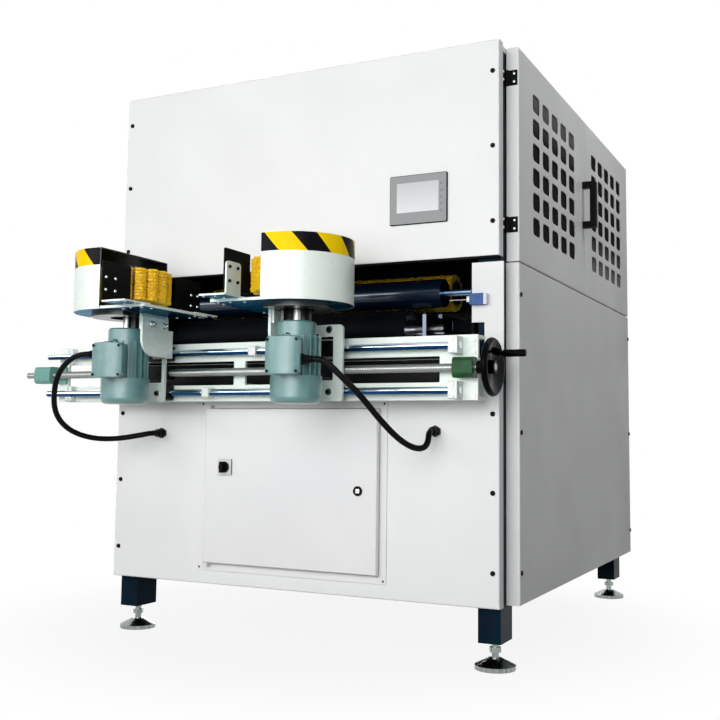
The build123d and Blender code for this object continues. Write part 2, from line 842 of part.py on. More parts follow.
def screw_bearings():
    """The lead screw's bearings: an end housing on the left, a flanged one on the right."""
    front = 2 * rail_y - beam_face
    half = bearing_side / 2
    inner_end = bearing_left_end + bearing_length
    left = block(bearing_left_end, inner_end, front, beam_face, screw_z - half, screw_z + half)
    left = fillet(left.edges().filter_by(Axis.X), half / 2)
    arm = block(inner_end - half, inner_end + bearing_arm, beam_face - beam_sheet, beam_face,
                screw_z - half, screw_z + half)
    left += arm - block(beam_left, inner_end + bearing_arm, rail_y - half, beam_face - beam_sheet - 1,
                        screw_z - half, screw_z + half)
    right = block(flange_bearing_left, beam_right, front, beam_face, screw_z - half, screw_z + half)
    right = fillet(right.edges().filter_by(Axis.X), half / 2)
    bore = rod(journal_radius + run_clearance, (screw_left_end - 1, rail_y, screw_z),
               (beam_right + 1, rail_y, screw_z))
    return [left - bore, right - bore]


def lead_screw():
    """A right- and left-hand lead screw; its thread is left to the finish."""
    end = wheel_x + wheel_hub_length
    thread = rod(thread_radius, (thread_left, rail_y, screw_z), (thread_right, rail_y, screw_z))
    return thread + rod(journal_radius, (screw_left_end, rail_y, screw_z), (end, rail_y, screw_z))


def handwheel():
    """A dished handwheel with a fixed pin for the crank grip."""
    rim = wheel_rim_radius
    hub_end = wheel_x + wheel_hub_length
    rim_x = hub_end - wheel_rim_section
    web_x = rim_x - wheel_dish
    bore, hub = journal_radius, wheel_hub_radius
    web = Polyline((web_x, hub - 1), (rim_x, rim), (rim_x + wheel_web, rim),
                   (web_x + wheel_web, hub - 1), close=True)
    sleeve = Pos((wheel_x + hub_end) / 2, (bore + hub) / 2) * Rectangle(wheel_hub_length, hub - bore)
    profile = sleeve + make_face(web) + Pos(rim_x, rim) * Circle(wheel_rim_section)
    wheel = revolve(profile, Axis.X)
    wheel = Pos(0, rail_y, screw_z) * wheel
    pin_end = crank_start + crank_grip_length - crank_pin_radius
    wheel += rod(crank_pin_radius, (rim_x, crank_y, crank_z), (pin_end, crank_y, crank_z))
    return wheel


def crank_handle():
    end = crank_start + crank_grip_length
    grip = rod(crank_grip_radius, (crank_start, crank_y, crank_z), (end, crank_y, crank_z))
    grip = fillet(grip.edges(), crank_grip_radius / 3)
    return grip - rod(crank_pin_radius + run_clearance, (crank_start - 1, crank_y, crank_z),
                      (end - crank_pin_radius + 1, crank_y, crank_z))


def place_left(piece):
    """Puts a piece made round a head's axis, inner side along +X, at the left head."""
    return Pos(axis_left, head_y, 0) * piece


def place_right(piece):
    """Puts a mirrored copy of a left piece at the right head."""
    return Pos(axis_right, head_y, 0) * mirror(piece, about=Plane.YZ)


def carriage():
    """An open plate on the rail bearings, and the bent bracket that carries the head."""
    front, back = carriage_front - head_y, carriage_back - head_y
    plate = block(-carriage_outer, carriage_inner, front, back, carriage_bottom, carriage_top)
    plate = fillet(plate.edges().filter_by(Axis.Y), carriage_round)
    opening = block(-opening_outer, opening_inner, front - 1, back + 1, opening_bottom, opening_top)
    plate -= fillet(opening.edges().filter_by(Axis.Y), edge_round)
    outline = [(tilt_front, tilt_top), (tilt_step, tilt_top), (tilt_step, tilt_shoulder),
               (front, tilt_shoulder), (front, tilt_bottom), (tilt_front + tilt_corner, tilt_bottom)]
    corner_top = (tilt_front, tilt_bottom + tilt_corner)
    edge = Polyline(*outline) + RadiusArc(outline[-1], corner_top, tilt_corner)
    edge += Line(corner_top, outline[0])
    inner = lug_inner + lug_thickness + face_clearance
    side = Plane(origin=(inner, 0, 0), x_dir=(0, 1, 0), z_dir=(1, 0, 0))
    bracket = extrude(side * make_face(edge), tilt_plate)
    bracket -= rod(pivot_radius + run_clearance, (inner - 1, pivot_v, pivot_z),
                   (inner + tilt_plate + 1, pivot_v, pivot_z))
    bracket -= tilt_slot(inner)
    outer = inner + tilt_plate
    bracket += block(outer - tilt_flange, outer, front - tilt_plate, front, tilt_bottom, tilt_shoulder)
    return [plate, bracket]


def tilt_slot(inner):
    """The arc slot round the pivot that lets the head tilt."""
    half = slot_stud_radius + slot_clearance
    sweep_angle = math.radians(slot_half_angle)
    cut = None
    for radius, way in ((slot_radius + half, 1), (slot_radius - half, -1)):
        disc = rod(radius, (inner - 1, pivot_v, pivot_z), (inner + tilt_plate + 1, pivot_v, pivot_z))
        cut = disc if way > 0 else cut - disc
    reach = 2 * slot_radius
    rise = reach * math.tan(sweep_angle)
    wedge = Polyline((0, 0), (reach, -rise), (reach, rise), close=True)
    side = Plane(origin=(inner - 1, pivot_v, pivot_z), x_dir=(0, 1, 0), z_dir=(1, 0, 0))
    return cut & extrude(side * make_face(wedge), tilt_plate + 2)


def rail_bearings():
    """Two bearing blocks on the rails and the lead screw's nut between them."""
    y0, y1 = carriage_back - head_y, carriage_back + bearing_block_depth - head_y
    half = bearing_block_height / 2
    blocks = []
    middle = (y0 + y1) / 2
    for z in (rail_low, rail_high):
        body = block(-bearing_outer, bearing_inner, y0, y1, z - half, z + half)
        body -= rod(rail_radius + run_clearance, (-bearing_outer - 1, middle, z),
                    (bearing_inner + 1, middle, z))
        blocks.append(body)
    nut = block(-nut_half_length, nut_half_length, y0, y1, screw_z - half, screw_z + half)
    nut -= rod(thread_radius + run_clearance, (-nut_half_length - 1, middle, screw_z),
               (nut_half_length + 1, middle, screw_z))
    return blocks + [nut]


def base_outline():
    """A disc under the hood, widened to a straight-sided table towards the work."""
    disc_radius = hood_radius - hood_wall
    edge = hood_cut + face_clearance
    half = math.sqrt(disc_radius ** 2 - edge ** 2)
    table = Pos((edge + base_reach) / 2, 0) * Rectangle(base_reach - edge, 2 * half)
    return Circle(disc_radius) + table


def head_base():
    """Base plate, the angle brackets for the fences, and the bell and seal under the plate."""
    plate = Pos(0, 0, base_bottom) * extrude(base_outline(), base_thickness)
    plate -= rod(shaft_hole_radius, (0, 0, base_bottom - 1), (0, 0, base_top + 1))
    pieces = [plate]
    inner = fence_face - fence_thickness
    outer = inner - bracket_thickness
    for way in (1, -1):
        leg = block(outer, inner, way * bracket_start, way * bracket_end, base_top,
                    base_top + bracket_height)
        leg = fillet(leg.edges().filter_by(Axis.X).sort_by(Axis.Z)[-2:], bracket_round)
        foot = block(outer, foot_reach, way * foot_start, way * foot_end, base_top,
                     base_top + bracket_thickness)
        pieces.append(leg + foot)
    return pieces + [motor_bell(), shaft_seal()]


def motor_bell():
    """The part of a bell that holds the motor under the base plate, open towards the front."""
    bell = rod(bell_radius, (0, 0, collar_top), (0, 0, base_bottom))
    bell -= rod(bell_radius - bell_wall, (0, 0, collar_top - 1), (0, 0, base_bottom + 1))
    corners = [(0, 0)]
    for angle in bell_sector:
        turn = math.radians(angle)
        corners.append((2 * bell_radius * math.cos(turn), 2 * bell_radius * math.sin(turn)))
    sector = extrude(make_face(Polyline(*corners, close=True)), base_bottom - collar_top)
    return bell & Pos(0, 0, collar_top) * sector


def shaft_seal():
    """A flat rubber ring under the base plate, cut straight beside the tilt lug."""
    bottom = base_bottom - seal_thickness
    seal = rod(seal_radius, (0, 0, bottom), (0, 0, base_bottom))
    seal -= rod(seal_bore, (0, 0, bottom - 1), (0, 0, base_bottom + 1))
    return seal - block(seal_side, seal_radius + 1, -seal_radius, seal_radius, bottom - 1, base_bottom + 1)


def tilt_lug():
    """The head's lug with its pivot stud and its stud in the bracket's slot."""
    outer = lug_inner + lug_thickness
    lug = block(lug_inner, outer, lug_front, lug_rear, lug_bottom, base_bottom)
    head = outer + face_clearance + tilt_plate
    for v, radius in ((pivot_v, pivot_radius), (pivot_v + slot_radius, slot_stud_radius)):
        lug += rod(radius, (lug_inner, v, pivot_z), (head + face_clearance, v, pivot_z))
        lug += hex_bar(3 * radius, (head + face_clearance, v, pivot_z),
                       (head + face_clearance + stud_head, v, pivot_z))
    return lug


def hood():
    """A round hood over the outer side of a brush, closed on top."""
    outer = rod(hood_radius, (0, 0, hood_bottom), (0, 0, hood_top))
    shell = outer - rod(hood_radius - hood_wall, (0, 0, hood_bottom - 1), (0, 0, hood_top - hood_wall))
    reach = 2 * hood_radius
    return shell - block(hood_cut, hood_cut + reach, -reach, reach, hood_bottom - 1, hood_top + 1)


def fences(front_fence):
    """Two guide plates on one line, behind and before the brush."""
    inner = fence_face - fence_thickness
    plates = []
    for way, (gap, length, rise) in ((1, rear_fence), (-1, front_fence)):
        low = base_top + bracket_thickness + rise
        plate = block(inner, fence_face, way * gap, way * (gap + length), low, low + fence_height)
        plates.append(fillet(plate.edges().filter_by(Axis.X), edge_round))
    return plates


def motor():
    """A finned motor standing under the base plate, with its cowl and its terminal box."""
    collar = rod(motor_core_radius, (0, 0, fins_top), (0, 0, collar_top))
    collar = chamfer(collar.faces().sort_by(Axis.Z)[-1].edges(), edge_round)
    bore_bottom = collar_top - shaft_engagement
    collar -= rod(shaft_radius + run_clearance, (0, 0, bore_bottom), (0, 0, collar_top + 1))
    stator = rod(motor_core_radius, (0, 0, cowl_top), (0, 0, fins_top))
    fin = block(0, motor_radius, -fin_thickness / 2, fin_thickness / 2, cowl_top, fins_top)
    stator += [Rot(0, 0, 360 * i / fin_count) * fin for i in range(fin_count)]
    cowl = rod(cowl_radius, (0, 0, motor_bottom), (0, 0, cowl_top))
    cowl = fillet(cowl.faces().sort_by(Axis.Z)[0].edges(), cowl_round)
    box = block(-box_half_width, box_half_width, -lid_back, 0, cowl_top, box_top)
    box -= rod(motor_radius + face_clearance, (0, 0, cowl_top - 1), (0, 0, box_top + 1))
    return [collar, stator, cowl, box, box_lid()]


def box_lid():
    """A bowed lid with round corners, wider than the terminal box behind it."""
    half = lid_half_width
    edge = Polyline((-half, -lid_edge), (-half, -lid_back), (half, -lid_back), (half, -lid_edge))
    edge += ThreePointArc((half, -lid_edge), (0, -lid_front), (-half, -lid_edge))
    bowed = Pos(0, 0, lid_bottom) * extrude(make_face(edge), lid_top - lid_bottom)
    corners = block(-half, half, -lid_front, -lid_back, lid_bottom, lid_top)
    lid = bowed & fillet(corners.edges().filter_by(Axis.Y), lid_corner)
    bow = lid.faces().sort_by(SortBy.AREA)[-2:].sort_by(Axis.Y)[0]
    return fillet(bow.edges(), lid_round)


def brush():
    """Strips of tufts round a backing ring, each tuft widening towards its tip."""
    ring = rod(backing_radius, (0, 0, brush_bottom), (0, 0, brush_bottom + brush_height))
    ring -= rod(backing_bore, (0, 0, brush_bottom - 1), (0, 0, brush_bottom + brush_height + 1))
    root = backing_radius - 1
    outline = Polyline((root, -tuft_root / 2), (brush_radius, -tuft_tip / 2),
                       (brush_radius, tuft_tip / 2), (root, tuft_root / 2), close=True)
    tuft = extrude(make_face(outline), tuft_height)
    pitch = (brush_height - tuft_height) / (tufts_per_strip - 1)
    tufts = []
    for strip in range(strip_count):
        turn = Rot(0, 0, brush_phase + 360 * strip / strip_count)
        for row in range(tufts_per_strip):
            tufts.append(turn * Pos(0, 0, brush_bottom + row * pitch) * tuft)
    return ring + tufts


def brush_shaft():
    """The motor shaft with the hub that the brush is pushed on."""
    top = brush_bottom + brush_height
    shaft = rod(shaft_radius, (0, 0, collar_top - shaft_engagement + 1), (0, 0, top + shaft_top_rise))
    shaft += rod(hub_flange_radius, (0, 0, brush_bottom - hub_flange_height), (0, 0, brush_bottom))
    return shaft + rod(backing_bore, (0, 0, brush_bottom), (0, 0, top))


def conduit_boot(z):
    """The gland nut and tapered boot on the outer side of a terminal box."""
    start = -box_half_width
    nut = hex_bar(gland_flats, (start, gland_v, z), (start - gland_nut, gland_v, z))
    taper = Plane(origin=(start - gland_nut, gland_v, z), z_dir=(-1, 0, 0))
    cone = Cone(boot_radius, conduit_radius + 1, boot_length, align=(Align.CENTER, Align.CENTER, Align.MIN))
    return nut + taper * cone


def beyond_boot(side, distance):
    """A point in line with the boot of the left (-1) or right (1) head, at a distance from its end."""
    u = side * (box_half_width + gland_nut + boot_length + distance)
    turn = math.radians(box_turn)
    x = u * math.cos(turn) - gland_v * math.sin(turn)
    y = u * math.sin(turn) + gland_v * math.cos(turn)
    if side < 0:
        return (axis_left + x, head_y + y, gland_z_left)
    return (axis_right + x, head_y + y, gland_z_right)


left_route = [
    beyond_boot(-1, 0.0),
    beyond_boot(-1, 28.0),
    (122.3, -368.0, 858.7),
    (90.3, -362.0, 838.0),
    (62.9, -354.0, 814.4),
    (34.0, -337.0, 771.9),
    (4.0, -303.0, 712.0),
    (4.0, -268.0, 668.0),
    (20.0, -222.0, 638.0),
    (55.0, -170.0, 622.0),
    (104.0, -121.0, 623.0),
    (150.0, -84.0, 633.0),
    (panel_gland_left, -61.0, panel_gland_left_z),
    (panel_gland_left, -panel_gland_length, panel_gland_left_z),
]
right_route = [
    beyond_boot(1, 0.0),
    beyond_boot(1, 12.0),
    (954.5, -331.0, 839.4),
    (968.5, -325.4, 831.0),
    (983.5, -318.5, 815.5),
    (1008.0, -304.0, 787.8),
    (1029.5, -285.0, 761.0),
    (1046.0, -264.0, 735.0),
    (1074.0, -217.0, 680.0),
    (panel_gland_right - 38.0, -170.0, 633.0),
    (panel_gland_right - 12.0, -132.0, 610.0),
    (panel_gland_right + 4.0, -100.0, 609.0),
    (panel_gland_right + 8.0, -76.0, 626.0),
    (panel_gland_right, -52.0, panel_gland_right_z),
    (panel_gland_right, -panel_gland_length, panel_gland_right_z),
]


def corner_radii(route):
    """The largest arc that each corner of a route leaves room for."""
    radii = []
    points = [Vector(*point) for point in route]
    for before, corner, after in zip(points, points[1:], points[2:]):
        turn = math.radians((corner - before).get_angle(after - corner))
        shorter = min((corner - before).length, (after - corner).length)
        radii.append(0.45 * shorter / math.tan(turn / 2))
    return radii


def conduit(name, route):
    """A plain tube along a route of straight runs and tangent arcs."""
    radii = corner_radii(route)
    path = FilletPolyline(*route, radius=radii)
    section = Plane(origin=path @ 0, z_dir=path % 0) * Circle(conduit_radius)
    solid = sweep(section, path)
    ideal = math.pi * conduit_radius ** 2 * path.length
    print(name, "length", round(path.length), "volume over section times length",
          round(solid.volume / ideal, 4), "radii", [round(radius) for radius in radii])
    return solid


def cable_glands():
    """Glands where the conduits enter the lower panel, and the mains entry at the rear."""
    glands = []
    for x, z in ((panel_gland_left, panel_gland_left_z), (panel_gland_right, panel_gland_right_z)):
        gland = hex_bar(gland_flats, (x, 0, z), (x, -gland_nut, z))
        gland += rod(boot_radius, (x, -gland_nut, z), (x, -panel_gland_length, z))
        glands.append(gland)
    x, z = mains_gland_x, mains_gland_z
    mains = hex_bar(gland_flats, (x, side_rear, z), (x, side_rear + gland_nut, z))
    mains += rod(boot_radius, (x, side_rear, z), (x, side_rear + panel_gland_length, z))
    mains -= rod(mains_bore, (x, side_rear - 1, z), (x, side_rear + panel_gland_length + 1, z))
    return glands + [mains]


def roller_frame():
    """Bearing plates, the conveyor's side plates, its bed and the bars between them."""
    pieces = []
    for x in (plate_left, plate_right):
        plate = block(x, x + plate_thickness, plate_front, plate_rear, mid_rail_top, plate_top)
        bores = [(infeed_roller_y, pressure_z, pressure_shaft_radius),
                 (outfeed_roller_y, pressure_z, pressure_shaft_radius),
                 (inner_brush_y, inner_brush_z, drum_shaft_radius)]
        if x == plate_right:
            bores.append((rear_drum_y, drum_z, drum_shaft_radius))
        for y, z, radius in bores:
            plate -= rod(radius + run_clearance, (x - 1, y, z), (x + plate_thickness + 1, y, z))
        pieces.append(plate)
    for x in (conveyor_left, conveyor_right):
        plate = block(x, x + plate_thickness, conveyor_front, conveyor_rear, conveyor_bottom,
                      conveyor_top)
        for y in (front_drum_y, rear_drum_y):
            plate -= rod(drum_shaft_radius + run_clearance, (x - 1, y, drum_z),
                         (x + plate_thickness + 1, y, drum_z))
        pieces.append(plate)
    spans = ((plate_left + plate_thickness, conveyor_left),
             (conveyor_left + plate_thickness, conveyor_right),
             (conveyor_right + plate_thickness, plate_right))
    for y in cross_bar_y:
        for x0, x1 in spans:
            pieces.append(block(x0, x1, y - cross_bar / 2, y + cross_bar / 2,
                                conveyor_top - cross_bar_height, conveyor_top))
    pieces.append(block(conveyor_left, conveyor_right + plate_thickness, bed_front, bed_rear,
                        conveyor_top, bed_top))
    return pieces


def conveyor_belt():
    def loop(radius):
        middle = (front_drum_y + rear_drum_y) / 2
        side = Plane(origin=(belt_left, middle, drum_z), x_dir=(0, 1, 0), z_dir=(1, 0, 0))
        return side * SlotCenterToCenter(rear_drum_y - front_drum_y, 2 * radius)
    return extrude(loop(belt_inner + belt_thickness) - loop(belt_inner), belt_right - belt_left)


def drum(y, shaft_end):
    shaft = rod(drum_shaft_radius, (conveyor_left, y, drum_z), (shaft_end, y, drum_z))
    return shaft + rod(drum_radius, (belt_left, y, drum_z), (belt_right, y, drum_z))


def pressure_roller(y):
    end = plate_right + plate_thickness
    shaft = rod(pressure_shaft_radius, (plate_left, y, pressure_z), (end, y, pressure_z))
    return shaft + rod(pressure_radius, (pressure_left, y, pressure_z), (pressure_right, y, pressure_z))


def inner_brush_roller():
    """A cylinder brush of straight bristle strips on a round core."""
    y, z = inner_brush_y, inner_brush_z
    end = plate_right + plate_thickness + drive_socket - 1
    roller = rod(drum_shaft_radius, (plate_left, y, z), (end, y, z))
    roller += rod(inner_brush_core, (inner_brush_left, y, z), (inner_brush_right, y, z))
    pitch = 2 * math.pi * inner_brush_core / inner_brush_strips
    half = inner_brush_fill * pitch / 2
    strip = block(inner_brush_left, inner_brush_right, -half, half, inner_brush_core - 2,
                  inner_brush_radius)
    strips = [Pos(0, y, z) * Rot(360 * i / inner_brush_strips, 0, 0) * strip
              for i in range(inner_brush_strips)]
    return roller + strips


def drive_motors():
    """The inner brush's motor and the conveyor's gear motor, on the right bearing plate."""
    face = plate_right + plate_thickness
    end = face + drive_length
    motor_body = rod(drive_radius, (face, inner_brush_y, inner_brush_z),
                     (end, inner_brush_y, inner_brush_z))
    half = gearbox_side / 2
    gearbox = block(face, end, rear_drum_y - half, rear_drum_y + half, drum_z - half, drum_z + half)
    drives = []
    for body, y, z in ((motor_body, inner_brush_y, inner_brush_z), (gearbox, rear_drum_y, drum_z)):
        body = fillet(body.faces().sort_by(Axis.X)[-1].edges(), edge_round)
        drives.append(body - rod(drum_shaft_radius + run_clearance, (face - 1, y, z),
                                 (face + drive_socket, y, z)))
    return drives


def limit_switch():
    """A switch on the infeed plate, with a fork for its rod."""
    face = panel_depth - infeed_plate_thickness
    half = switch_body_height / 2
    low, high = switch_body_z - half, switch_body_z + half
    body = block(infeed_plate_left, infeed_plate_left + switch_body_width, face - switch_body_depth,
                 face, low, high)
    body = fillet(body.edges().filter_by(Axis.Y), edge_round)
    head = block(infeed_plate_left - rod_slot, infeed_plate_left + rod_slot,
                 face - switch_body_depth, face - switch_body_depth / 4, low + rod_slot, high - rod_slot)
    middle = face - switch_body_depth / 2
    head -= block(infeed_plate_left - rod_slot - 1, infeed_plate_left, middle - rod_slot / 2,
                  middle + rod_slot / 2, low, high)
    head -= rod(rod_pivot_radius + run_clearance,
                (switch_rod_x, face - switch_body_depth - 1, switch_body_z),
                (switch_rod_x, face, switch_body_z))
    return body + head


def switch_rod():
    """The switch's feeler rod on its pivot pin."""
    face = panel_depth - infeed_plate_thickness
    middle = face - switch_body_depth / 2
    pin = rod(rod_pivot_radius, (switch_rod_x, face - switch_body_depth, switch_body_z),
              (switch_rod_x, face - switch_body_depth / 4, switch_body_z))
    return pin + rod(rod_radius, (switch_rod_x, middle, switch_body_z),
                     (switch_rod_x - rod_length, middle, switch_body_z))


def as_list(pieces):
    return pieces if isinstance(pieces, list) else [pieces]


nodes = {
    "frame_posts": frame_posts(),
    "frame_rails": frame_rails(),
    "levelling_feet": levelling_feet(),
    "front_upper_panel": front_upper_panel(),
    "front_lower_panel": front_lower_panel(),
    "side_panels": side_panels(),
    "rear_panel": rear_panel(),
    "roof_panel": roof_panel(),
    "dust_spigot": dust_spigot(),
    "hinge_leaves": hinge_leaves(),
    "operator_panel": operator_panel(),
    "operator_screen": operator_screen(),
    "electrical_box": electrical_box(),
    "panel_screws": panel_screws(),
    "side_door": side_door(),
    "side_door_fittings": side_door_fittings(),
    "rear_door": rear_door(),
    "rear_door_handle": rear_door_handle(),
    "electrical_door": electrical_door(),
    "main_switch_plate": main_switch_plate(),
    "main_switch_knob": main_switch_knob(),
    "door_lock": door_lock(),
    "cross_beam": cross_beam(),
    "guide_rails": guide_rails(),
    "rail_blocks": rail_blocks(),
    "screw_bearings": screw_bearings(),
    "lead_screw": lead_screw(),
    "handwheel": handwheel(),
    "crank_handle": crank_handle(),
    "cable_glands": cable_glands(),
    "roller_frame": roller_frame(),
    "conveyor_belt": conveyor_belt(),
    "front_drum": drum(front_drum_y, drum_shaft_end),
    "rear_drum": drum(rear_drum_y, plate_right + plate_thickness + drive_socket - 1),
    "infeed_pressure_roller": pressure_roller(infeed_roller_y),
    "outfeed_pressure_roller": pressure_roller(outfeed_roller_y),
    "inner_brush_roller": inner_brush_roller(),
    "drive_motors": drive_motors(),
    "limit_switch": limit_switch(),
    "switch_rod": switch_rod(),
    "left_conduit": conduit("left_conduit", left_route),
    "right_conduit": conduit("right_conduit", right_route),
}

# Each head piece is made once round its own axis and mirrored for the right head. Both motors are
# turned the same way, so that their terminal boxes look a little to the right.
head_pieces = {
    "carriage": carriage(),
    "rail_bearings": rail_bearings(),
    "hood": hood(),
    "brush": brush(),
    "brush_shaft": brush_shaft(),
    "head_base": head_base() + [tilt_lug()],
}
for name, pieces in head_pieces.items():
    nodes["left_" + name] = [place_left(piece) for piece in as_list(pieces)]
    nodes["right_" + name] = [place_right(piece) for piece in as_list(pieces)]
nodes["left_fences"] = [place_left(plate) for plate in fences(left_front_fence)]
nodes["right_fences"] = [place_right(plate) for plate in fences(right_front_fence)]
to_right, to_left = Rot(0, 0, box_turn), Rot(0, 0, -box_turn)
nodes["left_motor"] = [place_left(to_right * piece) for piece in motor()]
nodes["right_motor"] = [place_right(to_left * piece) for piece in motor()]
nodes["left_conduit_boot"] = place_left(to_right * conduit_boot(gland_z_left))
nodes["right_conduit_boot"] = place_right(to_left * conduit_boot(gland_z_right))

# The origin is the middle of the footprint on the floor, measured without the loose conduits.
held = [piece for name, pieces in nodes.items() if not name.endswith("_conduit")
        for piece in as_list(pieces)]
footprint = Compound(children=held).bounding_box().center()
to_origin = Pos(-footprint.X, -footprint.Y, 0)

os.makedirs("parts", exist_ok=True)
for name, pieces in nodes.items():
    solids = [to_origin * solid for piece in as_list(pieces) for solid in piece.solids()]
    node = solids[0] if len(solids) == 1 else Compound(children=solids)
    export_step(node, os.path.join("parts", name + ".step"))
print("nodes", len(nodes), "origin from the front panels' corner", footprint.X, footprint.Y)
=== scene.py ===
# %% [markdown]
# # Brush sanding machine
#
# A white cabinet on four levelling feet, with a beam and two brush heads in front of its infeed mouth.
# The CAD model already holds every rigid shape and every joint. This lesson gives those shapes their
# finishes and adds what CAD leaves plain: bristles, conduits, thread, screws, tape, film and light.

# %% The CAD frame
import json
import math

import bpy
from mathutils import Matrix, Vector


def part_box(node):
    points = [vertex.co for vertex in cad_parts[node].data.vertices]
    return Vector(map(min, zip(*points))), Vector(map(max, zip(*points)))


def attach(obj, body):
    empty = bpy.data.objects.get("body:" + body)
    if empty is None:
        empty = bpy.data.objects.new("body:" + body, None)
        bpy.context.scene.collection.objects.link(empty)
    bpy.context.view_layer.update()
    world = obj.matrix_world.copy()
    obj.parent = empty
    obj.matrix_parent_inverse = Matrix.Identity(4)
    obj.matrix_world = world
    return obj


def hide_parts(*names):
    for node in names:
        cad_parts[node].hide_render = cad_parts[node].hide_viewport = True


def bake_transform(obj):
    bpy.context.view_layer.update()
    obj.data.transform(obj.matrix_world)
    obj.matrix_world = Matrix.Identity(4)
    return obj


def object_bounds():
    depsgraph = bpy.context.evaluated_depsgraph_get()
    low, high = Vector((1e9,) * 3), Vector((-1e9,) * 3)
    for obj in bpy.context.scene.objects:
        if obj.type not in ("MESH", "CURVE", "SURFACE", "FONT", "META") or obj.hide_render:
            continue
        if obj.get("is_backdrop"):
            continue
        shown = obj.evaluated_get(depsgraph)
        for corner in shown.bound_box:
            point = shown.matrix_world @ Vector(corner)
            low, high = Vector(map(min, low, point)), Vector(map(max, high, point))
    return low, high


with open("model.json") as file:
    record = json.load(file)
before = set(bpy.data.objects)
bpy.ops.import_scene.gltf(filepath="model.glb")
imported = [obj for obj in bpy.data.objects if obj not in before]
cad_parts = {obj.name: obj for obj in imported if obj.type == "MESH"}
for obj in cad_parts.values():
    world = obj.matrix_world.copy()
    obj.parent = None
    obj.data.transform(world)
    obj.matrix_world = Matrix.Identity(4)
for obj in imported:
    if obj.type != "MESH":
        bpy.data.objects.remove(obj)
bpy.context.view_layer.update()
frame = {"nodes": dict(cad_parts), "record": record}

# %% [markdown]
# The source was drawn in millimetres from the lower left corner of the front panels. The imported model
# is in metres from the middle of the footprint. One small function carries a place over, so every
# number below can be read off the machine with a tape measure.

# %% From the drawing to the model
FOOTPRINT = (572.5, 560.0)


def at(x, y, z):
    """A place in the drawing, in millimetres, as a point of the model in metres."""
    return Vector(((x - FOOTPRINT[0]) / 1000, (y - FOOTPRINT[1]) / 1000, z / 1000))


print("front panel corner:", tuple(round(c, 4) for c in at(0, 0, 0)))

# %% [markdown]
# ## Camera
#
# The camera was fitted to eleven corners of the cabinet. It stands to the right of the machine, a
# little above knee height, and looks slightly up, which is why the upper panel seems to lean back. A
# small shift puts the lens axis where the fit found it, instead of in the middle of the picture.

# %% Camera
IMAGE_PX = 720
FOCAL_PX = 1000.8
LENS_AXIS_PX = (374.6, 339.1)
azimuth, elevation, roll = (math.radians(a) for a in (25.86, 5.30, 0.62))
forward = Vector((-math.sin(azimuth) * math.cos(elevation), math.cos(azimuth) * math.cos(elevation),
                  math.sin(elevation)))
level = Vector((math.cos(azimuth), math.sin(azimuth), 0))
upright = level.cross(forward)
right = level * math.cos(roll) + upright * math.sin(roll)
up = upright * math.cos(roll) - level * math.sin(roll)

scene = bpy.context.scene
lens = bpy.data.cameras.new("photo_camera")
lens.sensor_width = 36
lens.lens = FOCAL_PX / IMAGE_PX * lens.sensor_width
lens.shift_x = (IMAGE_PX / 2 - LENS_AXIS_PX[0]) / IMAGE_PX
lens.shift_y = (LENS_AXIS_PX[1] - IMAGE_PX / 2) / IMAGE_PX
camera = bpy.data.objects.new("photo_camera", lens)
scene.collection.objects.link(camera)
camera.matrix_world = Matrix.Translation(at(2225, -2640, 653)) @ Matrix(
    (right, up, -forward)).transposed().to_4x4()
scene.camera = camera
scene.view_settings.view_transform = "Standard"
print("lens:", round(lens.lens, 2), "mm, shift", round(lens.shift_x, 4), round(lens.shift_y, 4))

# %% [markdown]
# ## Two helpers for nodes and colours
#
# Colours are written as sRGB hex values, as a paint card gives them, and one function turns them into
# the linear values that shaders use. Another adds a node, sets it up and fills its inputs, and serves
# shader trees and Geometry Nodes alike. An input takes a value, another node or one of its outputs.

# %% Colours and nodes
MATH, VECTOR, MIX, RANGE, NOISE, COMBINE, SPLIT = (
    "ShaderNodeMath", "ShaderNodeVectorMath", "ShaderNodeMix", "ShaderNodeMapRange", "ShaderNodeTexNoise",
    "ShaderNodeCombineXYZ", "ShaderNodeSeparateXYZ")


def rgb(code):
    """A linear colour from an sRGB hex value."""
    parts = [int(code[i:i + 2], 16) / 255 for i in (1, 3, 5)]
    return [c / 12.92 if c <= 0.04045 else ((c + 0.055) / 1.055) ** 2.4 for c in parts] + [1.0]


def add(tree, kind, fill=None, **settings):
    """Adds a node to a tree. Fill gives values, nodes or other nodes' outputs to its inputs."""
    made = tree.nodes.new(kind)
    for name, value in settings.items():
        setattr(made, name, value)
    for socket, value in (fill or {}).items():
        if isinstance(value, bpy.types.Node):
            value = value.outputs[0]
        if isinstance(value, bpy.types.NodeSocket):
            tree.links.new(value, made.inputs[socket])
        else:
            made.inputs[socket].default_value = value
    return made


print("powder coat white is", [round(c, 3) for c in rgb("#f0f1f1")])

# %% [markdown]
# ## Studio light and floor
#
# The photograph is a cut-out on white. The front is evenly bright and the right side falls off from
# top to bottom. So a large softbox with a grid stands in front, aimed at the upper panel, and a small
# lamp near the camera fills the round hoods. A strip lamp on the left draws the long highlights on
# rollers and rails, and another hangs over the right edge. One behind keeps the rear readable when
# somebody walks round the machine. The white comes from Light Path: rays from the camera, mirrors and
# glass see white, while the world lights the machine far less than that.

